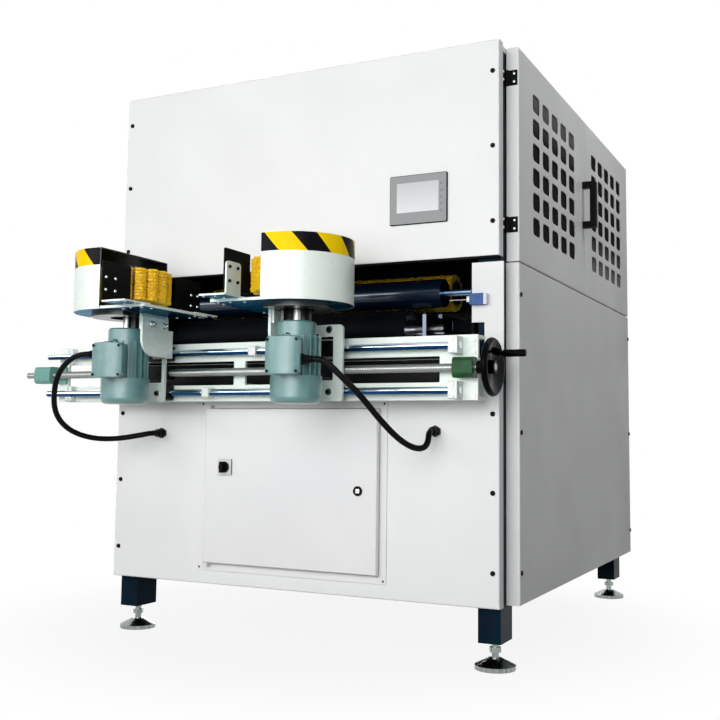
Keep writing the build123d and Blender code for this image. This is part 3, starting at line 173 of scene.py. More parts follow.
# %% World
AMBIENT = 0.04
world = bpy.data.worlds.new("white_studio")
scene.world = world
world.use_nodes = True
sky = world.node_tree
sky.nodes.clear()
path = add(sky, "ShaderNodeLightPath").outputs
seen = add(sky, MATH, {0: path["Is Camera Ray"], 1: path["Is Glossy Ray"]}, operation="MAXIMUM")
seen = add(sky, MATH, {0: seen, 1: path["Is Transmission Ray"]}, operation="MAXIMUM")
ambient = add(sky, "ShaderNodeBackground", {"Color": rgb("#fbfcff"), "Strength": AMBIENT})
white = add(sky, "ShaderNodeBackground", {"Color": rgb("#ffffff"), "Strength": 1.0})
mixed = add(sky, "ShaderNodeMixShader", {0: seen, 1: ambient, 2: white})
add(sky, "ShaderNodeOutputWorld", {"Surface": mixed})
print("world:", len(sky.nodes), "nodes")

# %% Lamps


def softbox(name, place, target, width, length, power, spread=180):
    """A rectangular area lamp, in metres, aimed at a target. A grid narrows its spread, in degrees."""
    lamp = bpy.data.lights.new(name, "AREA")
    lamp.shape = "RECTANGLE"
    lamp.size, lamp.size_y = width, length
    lamp.energy = power
    lamp.spread = math.radians(spread)
    holder = bpy.data.objects.new(name, lamp)
    scene.collection.objects.link(holder)
    holder.location = place
    holder.rotation_euler = (target - place).to_track_quat("-Z", "Y").to_euler()


softbox("front_softbox", at(950, -4300, 1850), at(700, 0, 1500), 2.8, 3.4, 74, spread=140)
softbox("camera_fill_lamp", at(2300, -3300, 1500), at(1000, -100, 1050), 1.6, 1.6, 32)
softbox("left_strip_lamp", at(-1900, -3700, 1800), at(700, 0, 1050), 3.2, 0.6, 46)
softbox("right_strip_lamp", at(2150, 800, 3200), at(1362, 800, 1300), 0.9, 2.6, 26)
softbox("rear_softbox", at(-2600, 4300, 2800), at(500, 800, 950), 3.0, 3.0, 190)

# %% Floor
FLOOR_M = 30.0
SHADOW_TO, CLEAR_FROM, NEAR_WHITE = 0.7, 1.5, 0.9
floor_mesh = bpy.data.meshes.new("studio_floor")
half = FLOOR_M / 2
floor_mesh.from_pydata([(-half, -half, 0), (half, -half, 0), (half, half, 0), (-half, half, 0)], [],
                       [(0, 1, 2, 3)])
floor = bpy.data.objects.new("studio_floor", floor_mesh)
scene.collection.objects.link(floor)
floor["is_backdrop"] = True
# Matt studio paper. What looks at it sees white, and near the machine a tenth of its shading stays.
paper = bpy.data.materials.new("white_studio_paper")
paper.use_nodes = True
tree = paper.node_tree
tree.nodes["Principled BSDF"].inputs["Base Color"].default_value = rgb("#7d7e7f")
tree.nodes["Principled BSDF"].inputs["Roughness"].default_value = 0.9
path = add(tree, "ShaderNodeLightPath").outputs
seen = add(tree, MATH, {0: path["Is Camera Ray"], 1: path["Is Glossy Ray"]}, operation="MAXIMUM")
seen = add(tree, MATH, {0: seen, 1: path["Is Transmission Ray"]}, operation="MAXIMUM")
away = add(tree, VECTOR, {0: add(tree, "ShaderNodeTexCoord").outputs["Object"]}, operation="LENGTH")
clear = add(tree, RANGE, {
    "Value": away.outputs["Value"], 1: SHADOW_TO, 2: CLEAR_FROM, 3: NEAR_WHITE, 4: 1.0},
    interpolation_type="SMOOTHSTEP")
share = add(tree, MATH, {0: seen, 1: clear}, operation="MULTIPLY")
glow = add(tree, "ShaderNodeEmission", {"Color": rgb("#ffffff"), "Strength": 1.0})
mixed = add(tree, "ShaderNodeMixShader", {0: share, 1: tree.nodes["Principled BSDF"], 2: glow})
tree.links.new(mixed.outputs[0], tree.nodes["Material Output"].inputs["Surface"])
floor_mesh.materials.append(paper)
print("floor:", FLOOR_M, "m square")

# %% [markdown]
# ## Finishes
#
# Almost everything on the machine is one of two kinds of surface. A coat is paint, plastic or rubber:
# nearly one colour, with a faint broad unevenness and a fine grain that breaks up the highlights. Bare
# metal shows the lines of the tool that cut it. One function builds each kind, from the colours of
# the real finish and from sizes in millimetres. Painted sheet also gets softened edges from the Bevel
# node, because a coat of paint rounds every corner. Black finishes and the panels get a low specular
# level: they stand in an all-white room, and its mirror image would turn the blacks grey and the
# shaded side pale.

# %% Coats
# Most values of a noise texture lie between these.
NOISE_LOW, NOISE_HIGH = 0.3, 0.7
DRIFT_FROM, GRAIN_STRENGTH = 0.35, 0.6


def coat(name, colour, shade, roughness, grain_mm=0.8, bump_mm=0.02, broad_mm=260, spread=0.06,
         edge_mm=0.0, **sockets):
    """Paint, plastic or rubber. The colour drifts towards the shade over broad_mm."""
    made = bpy.data.materials.new(name)
    made.use_nodes = True
    tree = made.node_tree
    shader = tree.nodes["Principled BSDF"]
    for socket, value in sockets.items():
        shader.inputs[socket.replace("_", " ")].default_value = value
    place = add(tree, "ShaderNodeTexCoord").outputs["Object"]
    broad = add(tree, NOISE, {"Vector": place, "Scale": 1000 / broad_mm, "Detail": 5.0})
    grain = add(tree, NOISE, {"Vector": place, "Scale": 1000 / grain_mm, "Detail": 2.0})
    drift = add(tree, RANGE, {"Value": broad, 1: DRIFT_FROM, 2: NOISE_HIGH})
    paint = add(tree, MIX, {0: drift, 6: rgb(colour), 7: rgb(shade)}, data_type="RGBA")
    tree.links.new(paint.outputs[2], shader.inputs["Base Color"])
    sheen = add(tree, RANGE, {
        "Value": broad, 1: NOISE_LOW, 2: NOISE_HIGH, 3: roughness - spread, 4: roughness + spread})
    tree.links.new(sheen.outputs[0], shader.inputs["Roughness"])
    bump = add(tree, "ShaderNodeBump", {
        "Height": grain, "Distance": bump_mm / 1000, "Strength": GRAIN_STRENGTH})
    if edge_mm:
        edge = add(tree, "ShaderNodeBevel", {"Radius": edge_mm / 1000}, samples=4)
        tree.links.new(edge.outputs[0], bump.inputs["Normal"])
    tree.links.new(bump.outputs[0], shader.inputs["Normal"])
    return made


# %% Paints
# White polyester powder coat on folded sheet: semi-matt, with a fine orange peel.
white_powder_coat = coat("white_powder_coat", "#f0f1f1", "#ebecec", 0.46, 2.2, 0.035, edge_mm=1.2,
                         Specular_IOR_Level=0.15)
# The same coat in a greyer white, on the electrical box and its door.
grey_white_powder_coat = coat("grey_white_powder_coat", "#eeeeee", "#e9e9ea", 0.44, 2.2, 0.035, edge_mm=1.0,
                              Specular_IOR_Level=0.15)
# Blue-black enamel sprayed on welded tube: satin, and the weld spatter leaves it a little uneven.
blue_black_enamel = coat("blue_black_enamel", "#0c2231", "#081722", 0.34, 1.6, 0.03, 90, edge_mm=1.5,
                         Specular_IOR_Level=0.03)
# Mint-white machine enamel on the beam, hoods and brackets: glossier than powder coat.
mint_white_enamel = coat("mint_white_enamel", "#eef8f0", "#e6f3e9", 0.3, 1.8, 0.025, 140, edge_mm=0.8,
                         Coat_Weight=0.2, Coat_Roughness=0.2)
# White enamel on the small blocks that hold the rails: a little duller, with rounded edges.
block_white_enamel = coat("block_white_enamel", "#f2f5f1", "#e9eeea", 0.36, 1.2, 0.02, 40, edge_mm=0.8)
# Grey-green gloss enamel over cast aluminium: the casting's skin shows as a soft ripple under the gloss.
motor_enamel = coat("motor_enamel", "#5f8d8b", "#4b7a7b", 0.4, 3.0, 0.08, 50, edge_mm=0.8,
                    Coat_Weight=1.0, Coat_Roughness=0.3)
# Green enamel on the bearing housings: thick paint that rounds the edges of a sand casting.
bearing_enamel = coat("bearing_enamel", "#0b5524", "#073c1a", 0.3, 2.0, 0.06, 40, edge_mm=2.0,
                      Specular_IOR_Level=0.2)
# Stoved black enamel on the fences: satin, and dark even where a broad face meets the light.
fence_black_enamel = coat("fence_black_enamel", "#0b0d0c", "#121513", 0.4, 1.0, 0.02, 80,
                          Specular_IOR_Level=0.04)
# Dull enamel inside, painted near black: painted shade where hardly any light comes back out of the mouth.
inner_dark_enamel = coat("inner_dark_enamel", "#0d0f11", "#090a0c", 0.5, 1.4, 0.03, 120,
                         Specular_IOR_Level=0.04)
print("paints:", len(bpy.data.materials) - 1)

# %% Plastics and rubber
# Glass-filled nylon fittings: black, dull, with a moulded grain.
black_nylon = coat("black_nylon", "#08090a", "#0d0e0e", 0.42, 0.7, 0.03, 30, Specular_IOR_Level=0.06)
# Moulded ABS housings: black, and a little smoother than the nylon.
housing_black = coat("housing_black", "#0c0d0e", "#131416", 0.38, 0.8, 0.02, 30, Specular_IOR_Level=0.08)
# Phenolic handwheel: moulded and polished, so its highlights are small and sharp.
polished_phenolic = coat("polished_phenolic", "#040505", "#070808", 0.12, 4.0, 0.02, 60, 0.03,
                         Specular_IOR_Level=0.025)
# Smooth PVC over the conduit's steel spiral: soft highlight, fine rubbing marks.
conduit_pvc = coat("conduit_pvc", "#08080a", "#110f12", 0.3, 1.5, 0.05, 25, 0.08, Specular_IOR_Level=0.06)
# Ground polyurethane on the pressure rollers: blue-black, and smooth enough to carry a long highlight.
roller_rubber = coat("roller_rubber", "#14202f", "#0f1826", 0.3, 0.9, 0.03, 200, 0.05,
                     Coat_Weight=1.0, Coat_Roughness=0.12, Coat_Tint=rgb("#9fc4e6"))
# Rough-topped conveyor rubber: matt, with a coarse grain that breaks up every highlight.
belt_rubber = coat("belt_rubber", "#0b0e11", "#12161a", 0.5, 2.5, 0.2, 90, Specular_IOR_Level=0.05)
# Black anodised aluminium: a dense satin film with a cool cast.
anodised_black = coat("anodised_black", "#0b0e10", "#121618", 0.3, 0.6, 0.015, 30, edge_mm=0.5,
                      Specular_IOR_Level=0.1)
# Moulded ABS of the limit switch: a muted grey-blue, slightly glossy.
limit_switch_abs = coat("limit_switch_abs", "#4566a0", "#3c5b94", 0.5, 0.8, 0.02, 20, edge_mm=0.6,
                        Specular_IOR_Level=0.2)
# Grey polyester film over the keys: even, and nearly matt.
key_grey_film = coat("key_grey_film", "#868889", "#7b7d7e", 0.4, 0.6, 0.01, 12)
print("coats:", len(bpy.data.materials) - 1)

# %% Bare metals
LINE_STRETCH, LINE_STRENGTH = 0.04, 0.5


def machined(name, colour, shade, roughness, line_mm, along, spread=0.08, bump_mm=0.004):
    """Bare metal with tool lines. Along is the axis, 0 to 2, on which the lines run."""
    made = bpy.data.materials.new(name)
    made.use_nodes = True
    tree = made.node_tree
    shader = tree.nodes["Principled BSDF"]
    shader.inputs["Metallic"].default_value = 1.0
    stretch = [1.0, 1.0, 1.0]
    stretch[along] = LINE_STRETCH
    place = add(tree, "ShaderNodeTexCoord").outputs["Object"]
    drawn = add(tree, "ShaderNodeMapping", {"Vector": place, "Scale": stretch})
    lines = add(tree, NOISE, {"Vector": drawn, "Scale": 1000 / line_mm, "Detail": 3.0})
    tone = add(tree, RANGE, {"Value": lines, 1: NOISE_LOW, 2: NOISE_HIGH})
    steel = add(tree, MIX, {0: tone, 6: rgb(colour), 7: rgb(shade)}, data_type="RGBA")
    tree.links.new(steel.outputs[2], shader.inputs["Base Color"])
    gloss = add(tree, RANGE, {
        "Value": lines, 1: NOISE_LOW, 2: NOISE_HIGH, 3: roughness - spread, 4: roughness + spread})
    tree.links.new(gloss.outputs[0], shader.inputs["Roughness"])
    bump = add(tree, "ShaderNodeBump", {
        "Height": lines, "Distance": bump_mm / 1000, "Strength": LINE_STRENGTH})
    tree.links.new(bump.outputs[0], shader.inputs["Normal"])
    return made


# Hard chromed guide bar, ground and polished: mirror bright with a cold tint.
chromed_bar = machined("chromed_bar", "#dfe8f0", "#c6d3df", 0.12, 1.5, 0, 0.04)
# Cold drawn steel, left bright and oiled.
drawn_steel = machined("drawn_steel", "#a8aaa6", "#7d817f", 0.3, 1.2, 0)
# Turned steel: fine tool lines that draw each highlight out.
turned_steel = machined("turned_steel", "#b4b6b4", "#8c908f", 0.28, 1.0, 2)
# Nickel-plated foot: pressed and polished, dark where it mirrors the legs.
plated_foot = machined("plated_foot", "#a9b0ac", "#6f7773", 0.16, 6.0, 2, 0.06)
# Galvanised sheet: dull zinc with a broad spangle.
galvanised_sheet = machined("galvanised_sheet", "#b3b9bc", "#969da1", 0.42, 14.0, 2, 0.1)
# Stainless screw heads: pale and bright, with hardly any lines.
stainless_head = machined("stainless_head", "#d5d9d9", "#b7bcbd", 0.24, 0.8, 2)
# Steel blackened in a hot bath: dark, with a metal sheen left in it.
black_oxide = machined("black_oxide_steel", "#2b2d2f", "#1b1d1f", 0.34, 0.8, 2)
# Turned aluminium: paler and softer than steel.
turned_alloy = machined("turned_alloy", "#b9bdc0", "#94999d", 0.26, 1.2, 1)
print("finishes so far:", len(bpy.data.materials))

# %% [markdown]
# ## One node, several finishes
#
# Some CAD nodes hold pieces of more than one finish: a plate with a rubber ring under it and painted
# shade below, a roller with its bare shaft, a hood with painted shade inside. Splitting the mesh would
# break the link to its node, so the material does the work. A mask is 1 where the object's own place or
# normal lies within limits, and a second colour is laid over the first where the mask says so.

# %% Masks and second colours
FRONT_FACE, UNDER_FACE = ("Normal", 1, -1.1, -0.9), ("Normal", 2, -1.1, -0.7)


def x_limits(left, right):
    """Limits on X, from places in the drawing in millimetres."""
    return ("Object", 0, at(left, 0, 0).x, at(right, 0, 0).x)


def z_limits(low, high):
    """Limits on Z, from heights in millimetres."""
    return ("Object", 2, low / 1000, high / 1000)


def within(tree, *limits):
    """A mask from limits, each (Object or Normal, axis, low, high)."""
    coords = add(tree, "ShaderNodeTexCoord")
    mask = 1.0
    for vector, axis, low, high in limits:
        value = add(tree, SPLIT, {0: coords.outputs[vector]}).outputs[axis]
        inside = add(tree, MATH, {0: value, 1: (low + high) / 2, 2: (high - low) / 2}, operation="COMPARE")
        mask = add(tree, MATH, {0: mask, 1: inside}, operation="MULTIPLY")
    return mask


def over_paint(made, colour, mask, metal=False):
    """Lays a colour over a finish where the mask is 1, as bare metal if asked."""
    tree = made.node_tree
    shader = tree.nodes["Principled BSDF"]
    feeds = {link.to_socket.name: link.from_socket for link in tree.links if link.to_node == shader}
    top = rgb(colour) if isinstance(colour, str) else colour
    both = add(tree, MIX, {0: mask, 6: feeds["Base Color"], 7: top}, data_type="RGBA")
    tree.links.new(both.outputs[2], shader.inputs["Base Color"])
    if metal:
        before = feeds.get("Specular Tint", rgb("#ffffff"))
        tint = add(tree, MIX, {0: mask, 6: before, 7: top}, data_type="RGBA")
        tree.links.new(tint.outputs[2], shader.inputs["Specular Tint"])
        bare = add(tree, MATH, {0: mask, 1: feeds.get("Metallic", 0.0)}, operation="MAXIMUM")
        tree.links.new(bare.outputs[0], shader.inputs["Metallic"])


def over_part(made, colour, *limits, metal=False):
    """Lays a colour over that part of a finish which is within limits."""
    over_paint(made, colour, within(made.node_tree, *limits), metal)


def copied(finish, name):
    """A finish of the same kind under a new name, to be painted over."""
    made = finish.copy()
    made.name = name
    return made


# %% Head plates: enamel, a black bell and ring with painted shade, bright studs, painted blue shade below
PLATE_UNDERSIDE, FOOT_UNDERSIDE = 996.5, 1004.5
HEADS_FROM, MARGIN, SHADE_CLOUD_MM = 900.0, 0.1, 120
hanging = z_limits(HEADS_FROM, PLATE_UNDERSIDE - MARGIN)
undersides = z_limits(PLATE_UNDERSIDE - MARGIN, FOOT_UNDERSIDE + MARGIN)
plate_with_painted_shade = copied(mint_white_enamel, "enamel_over_blue_zinc")
# Below the plate the bell and ring are black, partly their own colour and partly painted shade under the
# plate.
over_part(plate_with_painted_shade, "#0c0e0d", hanging)
over_part(plate_with_painted_shade, "#dfeee4", hanging, x_limits(308, 782))
over_part(plate_with_painted_shade, "#c9cdcc", hanging, x_limits(321, 769), metal=True)
# The undersides are painted teal-blue by their down-facing normal: painted shade with the blue cast of the
# shadows.
tree = plate_with_painted_shade.node_tree
place = add(tree, "ShaderNodeTexCoord").outputs["Object"]
cloud = add(tree, NOISE, {"Vector": place, "Scale": 1000 / SHADE_CLOUD_MM, "Detail": 2.0})
painted_underside_shade = add(tree, MIX, {0: cloud, 6: rgb("#1c7fb0"), 7: rgb("#1f97a0")}, data_type="RGBA")
over_part(plate_with_painted_shade, painted_underside_shade.outputs[2], undersides, UNDER_FACE, metal=True)
print("head plate finish:", len(tree.nodes), "nodes")

# %% Hoods: mint outside, painted shade inside and on the cut edges
HEAD_AXES = {"left": (250.0, -272.0), "right": (840.0, -272.0)}
HOOD_INSIDE, HOOD_CEILING = 154.5, 1173.5
hood_with_painted_shade = {}
for side, (axis_x, axis_y) in HEAD_AXES.items():
    hood_with_painted_shade[side] = copied(mint_white_enamel, side + "_hood_enamel")
    tree = hood_with_painted_shade[side].node_tree
    place = add(tree, "ShaderNodeTexCoord").outputs["Object"]
    spoke = add(tree, VECTOR, {0: place, 1: at(axis_x, axis_y, 0)}, operation="SUBTRACT")
    spoke = add(tree, VECTOR, {0: spoke, 1: (1, 1, 0)}, operation="MULTIPLY")
    radius = add(tree, VECTOR, {0: spoke}, operation="LENGTH").outputs["Value"]
    inner = add(tree, MATH, {0: radius, 1: HOOD_INSIDE / 1000}, operation="LESS_THAN")
    below_top = within(tree, z_limits(HEADS_FROM, HOOD_CEILING))
    mask = add(tree, MATH, {0: inner, 1: below_top}, operation="MULTIPLY")
    cut_edge = ("Normal", 0, 0.9, 1.1) if side == "left" else ("Normal", 0, -1.1, -0.9)
    mask = add(tree, MATH, {0: mask, 1: within(tree, cut_edge)}, operation="MAXIMUM")
    # Inside the hood and on its cut edges the enamel is painted near black: painted shade.
    over_paint(hood_with_painted_shade[side], "#131a15", mask)
print("hood finishes:", list(hood_with_painted_shade))

# %% Panels and plates with a second colour
# The underside of the upper panel is painted near black: painted shade under its lower edge.
panel_with_shaded_lip = copied(white_powder_coat, "white_powder_coat_with_seal")
over_part(panel_with_shaded_lip, "#0d0e0f", UNDER_FACE, z_limits(1140, 1190))
# Behind the windows of the beam the lower panel is painted black: painted shade behind the beam.
panel_with_shade_strip = copied(white_powder_coat, "white_powder_coat_with_black_strip")
over_part(panel_with_shade_strip, "#0c0d0e", FRONT_FACE, z_limits(785, 864), x_limits(-125, 1200))
# The front edge of the right conveyor plate is painted pale blue-white: a painted highlight.
plates_with_painted_highlight = copied(inner_dark_enamel, "inner_enamel_with_bare_edge")
over_part(plates_with_painted_highlight, "#c3d0f0", FRONT_FACE, x_limits(1029, 1043))
roller_with_shaft = copied(roller_rubber, "rubber_on_bright_shaft")
over_part(roller_with_shaft, "#d9dde2", x_limits(1083.5, 1300), metal=True)
# The undersides of the chromed bars are painted dark blue: a painted reflection of a dark room below.
bar_with_painted_reflection = copied(chromed_bar, "chromed_bar_with_blue_underside")
over_part(bar_with_painted_reflection, "#12406e", ("Normal", 2, -1.1, -0.1))
print("finishes so far:", len(bpy.data.materials))

# %% Small fittings with a second colour
capped_switch = copied(limit_switch_abs, "limit_switch_abs_with_cap")
over_part(capped_switch, "#dfe3e8", x_limits(1280, 1500))
over_part(capped_switch, "#dfe3e8", x_limits(600, 1237.9))
# Polyester overlay on the terminal and the switch plate: silver-grey print on a black housing.
silver_overlay = copied(housing_black, "silver_overlay_film")
over_part(silver_overlay, "#9b9d9e", FRONT_FACE)
pale_overlay = copied(housing_black, "pale_overlay_film")
over_part(pale_overlay, "#d9dbdc", FRONT_FACE)
INSERT_HALF, INSERT_DROP = 0.006, 0.014
low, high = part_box("door_lock")
insert_x, insert_z = (low[0] + high[0]) / 2, high[2] - INSERT_DROP
insert = [("Object", 0, insert_x - INSERT_HALF, insert_x + INSERT_HALF),
          ("Object", 2, insert_z - INSERT_HALF, insert_z + INSERT_HALF)]
lock_finish = copied(black_nylon, "nylon_lock_with_bright_insert")
over_part(lock_finish, "#d6dada", FRONT_FACE, *insert, metal=True)
# In the photograph the hinges of the electrical door are white and those of the grille door black.
hinge_finish = copied(black_nylon, "nylon_hinges_and_painted_hinges")
over_part(hinge_finish, "#e6e7e7", x_limits(-400, 1100))
# In the photograph the left bearing housing is paler than the right one.
bearing_finish = copied(bearing_enamel, "bearing_enamel_two_greens")
over_part(bearing_finish, "#74a89f", x_limits(-400, 500))
print("finishes in all:", len(bpy.data.materials))

# %% [markdown]
# The display is pale glass that reads as a soft grey, lighter towards its foot. Clear glass over a lit
# screen would need light of its own, so a gradient on the object's own height gives the tones instead.

# %% Display
PALE_UP_TO, GREY_FROM = 1.285, 1.375
# Display glass: smooth, with a soft sheen rather than a sharp mirror image.
display_glass = bpy.data.materials.new("display_glass")
display_glass.use_nodes = True
tree = display_glass.node_tree
shader = tree.nodes["Principled BSDF"]
shader.inputs["Roughness"].default_value = 0.2
shader.inputs["Specular IOR Level"].default_value = 0.3
height = add(tree, SPLIT, {0: add(tree, "ShaderNodeTexCoord").outputs["Object"]}).outputs["Z"]
rise = add(tree, RANGE, {"Value": height, 1: PALE_UP_TO, 2: GREY_FROM})
glass = add(tree, MIX, {0: rise, 6: rgb("#e3e4e6"), 7: rgb("#c9cbcd")}, data_type="RGBA")
tree.links.new(glass.outputs[2], shader.inputs["Base Color"])
print("display turns grey over", round((GREY_FROM - PALE_UP_TO) * 1000), "mm")

# %% [markdown]
# The record gives every CAD node a slot, which names its finish in a word or two. One table turns slots
# into the finishes above, and a shorter one holds the nodes that need a finish of their own. Each node
# could be painted by name, but then two pieces of one finish could drift apart.

# %% Every CAD node takes its finish
finish_of_slot = {
    "frame_black": blue_black_enamel, "foot_steel": plated_foot, "cabinet_white": white_powder_coat,
    "cabinet_grey": grey_white_powder_coat, "galvanised": galvanised_sheet, "fitting_black": black_nylon,
    "terminal_grey": silver_overlay, "screen_pale": display_glass, "switch_plate": pale_overlay,
    "switch_knob": black_nylon, "steel": turned_steel, "chrome": bar_with_painted_reflection,
    "beam_mint": mint_white_enamel, "block_white": block_white_enamel, "plate_zinc": plate_with_painted_shade,
    "bearing_black": anodised_black, "bearing_green": bearing_finish, "motor_green": motor_enamel,
    "fence_black": fence_black_enamel, "wheel_black": polished_phenolic, "conduit_black": conduit_pvc,
    "inner_grey": plates_with_painted_highlight, "belt_dark": belt_rubber, "drum_alloy": turned_alloy,
    "roller_rubber": roller_with_shaft, "switch_blue": capped_switch,
}
finish_of_node = {"left_hood": hood_with_painted_shade["left"], "right_hood": hood_with_painted_shade["right"],
                  "front_upper_panel": panel_with_shaded_lip, "front_lower_panel": panel_with_shade_strip,
                  "door_lock": lock_finish, "hinge_leaves": hinge_finish}
for part in frame["record"]["subparts"]:
    mesh = frame["nodes"][part["node"]].data
    finish = finish_of_node.get(part["node"]) or finish_of_slot.get(part["material_slot"])
    if finish:
        mesh.materials.clear()
        mesh.materials.append(finish)
print("nodes with a finish:", sum(1 for o in frame["nodes"].values() if o.data.materials))

# %% [markdown]
# ## Conduits
#
# A black conduit runs from each motor's gland to a gland on the lower front panel, and it sags between
# them. A bevelled curve would be the quick way. The real conduit bends when its carriage slides. Here
# the route is a NURBS spline, and a tube is swept along points read from it.

# %% Sweeping a tube along a spline
CONDUIT_MM = 17.0
TUBE_SIDES = 20


def spline_points(name, route):
    """Points read from a NURBS spline that has the route's places as its control points."""
    curve = bpy.data.curves.new(name, "CURVE")
    curve.dimensions = "3D"
    curve.resolution_u = 10
    spline = curve.splines.new("NURBS")
    spline.points.add(len(route) - 1)
    for point, place in zip(spline.points, route):
        point.co = (*at(*place), 1)
    spline.order_u = 3
    spline.use_endpoint_u = True
    holder = bpy.data.objects.new(name, curve)
    scene.collection.objects.link(holder)
    line = bpy.data.meshes.new_from_object(holder)
    points = [v.co.copy() for v in line.vertices]
    bpy.data.objects.remove(holder)
    bpy.data.meshes.remove(line)
    return points


def swept_tube(name, points, radius):
    """A closed round tube along points, its rings turned as little as possible from one to the next."""
    count = len(points)
    across = Vector((0, 0, 1))
    verts, faces = [], []
    for i, point in enumerate(points):
        ahead = (points[min(i + 1, count - 1)] - points[max(i - 1, 0)]).normalized()
        across = (across - ahead * across.dot(ahead)).normalized()
        other = ahead.cross(across)
        for k in range(TUBE_SIDES):
            turn = 2 * math.pi * k / TUBE_SIDES
            verts.append(point + radius * (across * math.cos(turn) + other * math.sin(turn)))
    for i in range(count - 1):
        for k in range(TUBE_SIDES):
            a, b = i * TUBE_SIDES + k, i * TUBE_SIDES + (k + 1) % TUBE_SIDES
            faces.append((a, b, b + TUBE_SIDES, a + TUBE_SIDES))
    faces.append(tuple(reversed(range(TUBE_SIDES))))
    faces.append(tuple(range((count - 1) * TUBE_SIDES, count * TUBE_SIDES)))
    mesh = bpy.data.meshes.new(name)
    mesh.from_pydata(verts, [], faces)
    mesh.shade_smooth()
    return mesh


# %% Both conduits
routes = {
    "left": [(188.87, -363, 872), (161.3, -367.86, 872), (122.3, -368, 858.7), (90.3, -362, 838),
             (62.9, -354, 814.4), (34, -337, 771.9), (4, -303, 712), (4, -268, 668), (20, -222, 638),
             (55, -170, 622), (104, -121, 623), (150, -84, 633), (185, -61, 642), (185, -30, 642)],
    "right": [(928.56, -336.6, 843), (940.38, -334.52, 843), (954.5, -331, 839.4), (968.5, -325.4, 831),
              (983.5, -318.5, 815.5), (1008, -304, 787.8), (1029.5, -285, 761), (1046, -264, 735),
              (1074, -217, 680), (1104, -170, 633), (1130, -132, 610), (1146, -100, 609), (1150, -76, 626),
              (1142, -52, 657), (1142, -30, 657)],
}
for side, route in routes.items():
    points = spline_points(side + "_conduit_route", route)
    mesh = swept_tube(side + "_bent_conduit", points, CONDUIT_MM / 2000)
    mesh.materials.append(conduit_pvc)
    hose = bpy.data.objects.new(side + "_bent_conduit", mesh)
    scene.collection.objects.link(hose)
    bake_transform(hose)
    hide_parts(side + "_conduit")
    print(side, "conduit:", len(points), "points,",
          round(sum((b - a).length for a, b in zip(points, points[1:])) * 1000), "mm")

# %% [markdown]
# ## Turned pieces
#
# Boots, brush bodies, rollers and screw heads are all turned shapes. A Screw modifier could spin a
# profile, but it leaves a seam to merge, so one function writes the rings straight away. It turns a
# list of radius and height pairs about the Z axis, and a matrix puts the result where it belongs.

# %% Turning a profile


def turned(name, profile, sides=32, place=None, ring=False):
    """A shape turned about Z. A ring joins the end of its profile to the start, and is hollow."""
    rows = [(r / 1000, h / 1000) for r, h in profile]
    verts = [(r * math.cos(2 * math.pi * k / sides), r * math.sin(2 * math.pi * k / sides), h)
             for r, h in rows for k in range(sides)]
    faces = []
    for i in range(len(rows) if ring else len(rows) - 1):
        for k in range(sides):
            a, b = i * sides, (i + 1) % len(rows) * sides
            faces.append((a + k, a + (k + 1) % sides, b + (k + 1) % sides, b + k))
    if not ring:
        faces.append(tuple(reversed(range(sides))))
        faces.append(tuple(range((len(rows) - 1) * sides, len(rows) * sides)))
    mesh = bpy.data.meshes.new(name)
    mesh.from_pydata(verts, [], faces)
    if place:
        mesh.transform(place)
    return mesh


def stand(mesh, body, slot, *nodes, smooth_angle=30):
    """Puts a finished mesh into the scene, riding on a body and standing for CAD nodes."""
    mesh.set_sharp_from_angle(angle=math.radians(smooth_angle))
    piece = bpy.data.objects.new(mesh.name, mesh)
    scene.collection.objects.link(piece)
    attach(piece, body)
    if nodes:
        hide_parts(*nodes)
    return piece


Z_TO_X = Matrix.Rotation(math.pi / 2, 4, "Y")

# %% [markdown]
# ## Boots on the motor glands
#
# Where a conduit leaves the motor, a nut holds a ribbed rubber boot that tapers down to it. The nut
# tilts with the head while the conduit's end stays with the carriage. The boot is turned as one mesh
# along its length.

# %% Ribbed boots
BOX_TURN = math.radians(10)
BOOT_NUT_MM, BOOT_MM, BOOT_RIBS = 14, 40, 4
boot_profile = [(13.6, 0), (15.2, 1.2), (15.2, BOOT_NUT_MM - 1.5), (13.6, BOOT_NUT_MM)]
for rib in range(BOOT_RIBS):
    start = BOOT_NUT_MM + 1 + rib * 6
    radius = 12.6 - 0.8 * rib
    boot_profile += [(radius - 1.5, start), (radius, start + 1), (radius, start + 3.6),
                     (radius - 1.5, start + 4.6)]
boot_profile += [(9.2, BOOT_MM - 1), (8.8, BOOT_MM)]
glands = {"left": ((228.27, -356.05, 872), -1), "right": ((889.17, -343.55, 843), 1)}
for side, (gland, way) in glands.items():
    axis = Vector((math.cos(BOX_TURN), math.sin(BOX_TURN), 0)) * way
    nut = at(*gland)
    facing = Matrix.Translation(nut) @ Vector((0, 0, 1)).rotation_difference(axis).to_matrix().to_4x4()
    mesh = turned(side + "_ribbed_boot", boot_profile, 24, facing)
    mesh.set_sharp_from_angle(angle=math.radians(40))
    mesh.materials.append(black_nylon)
    boot = bpy.data.objects.new(mesh.name, mesh)
    scene.collection.objects.link(boot)
    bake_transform(boot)
    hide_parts(side + "_conduit_boot")
print("boots:", BOOT_RIBS, "ribs each")

# %% [markdown]
# ## Brushes
#
# Each brush is a drum with upright strips of abrasive fibre, set close enough to look like columns.
# Particle hair would be quick but exports as nothing, so Geometry Nodes build every tuft: a dense
# heart that widens towards its tip, and crimped three-sided stalks that stand out of it. The index
# gives strip and tuft, and seeded random numbers give each stalk its spread, its length and its shade.
# The tips at a strip's edges are shorter, which gives each column its rounded crown.

# %% Trees with named inputs


def new_tree(name, inputs):
    """A Geometry Nodes tree with those inputs. Returns the tree, its inputs and its output node."""
    tree = bpy.data.node_groups.new(name, "GeometryNodeTree")
    tree.interface.new_socket("Geometry", in_out="INPUT", socket_type="NodeSocketGeometry")
    tree.interface.new_socket("Geometry", in_out="OUTPUT", socket_type="NodeSocketGeometry")
    for label, kind in inputs.items():
        tree.interface.new_socket(label, in_out="INPUT", socket_type="NodeSocket" + kind)
    return tree, add(tree, "NodeGroupInput").outputs, add(tree, "NodeGroupOutput")


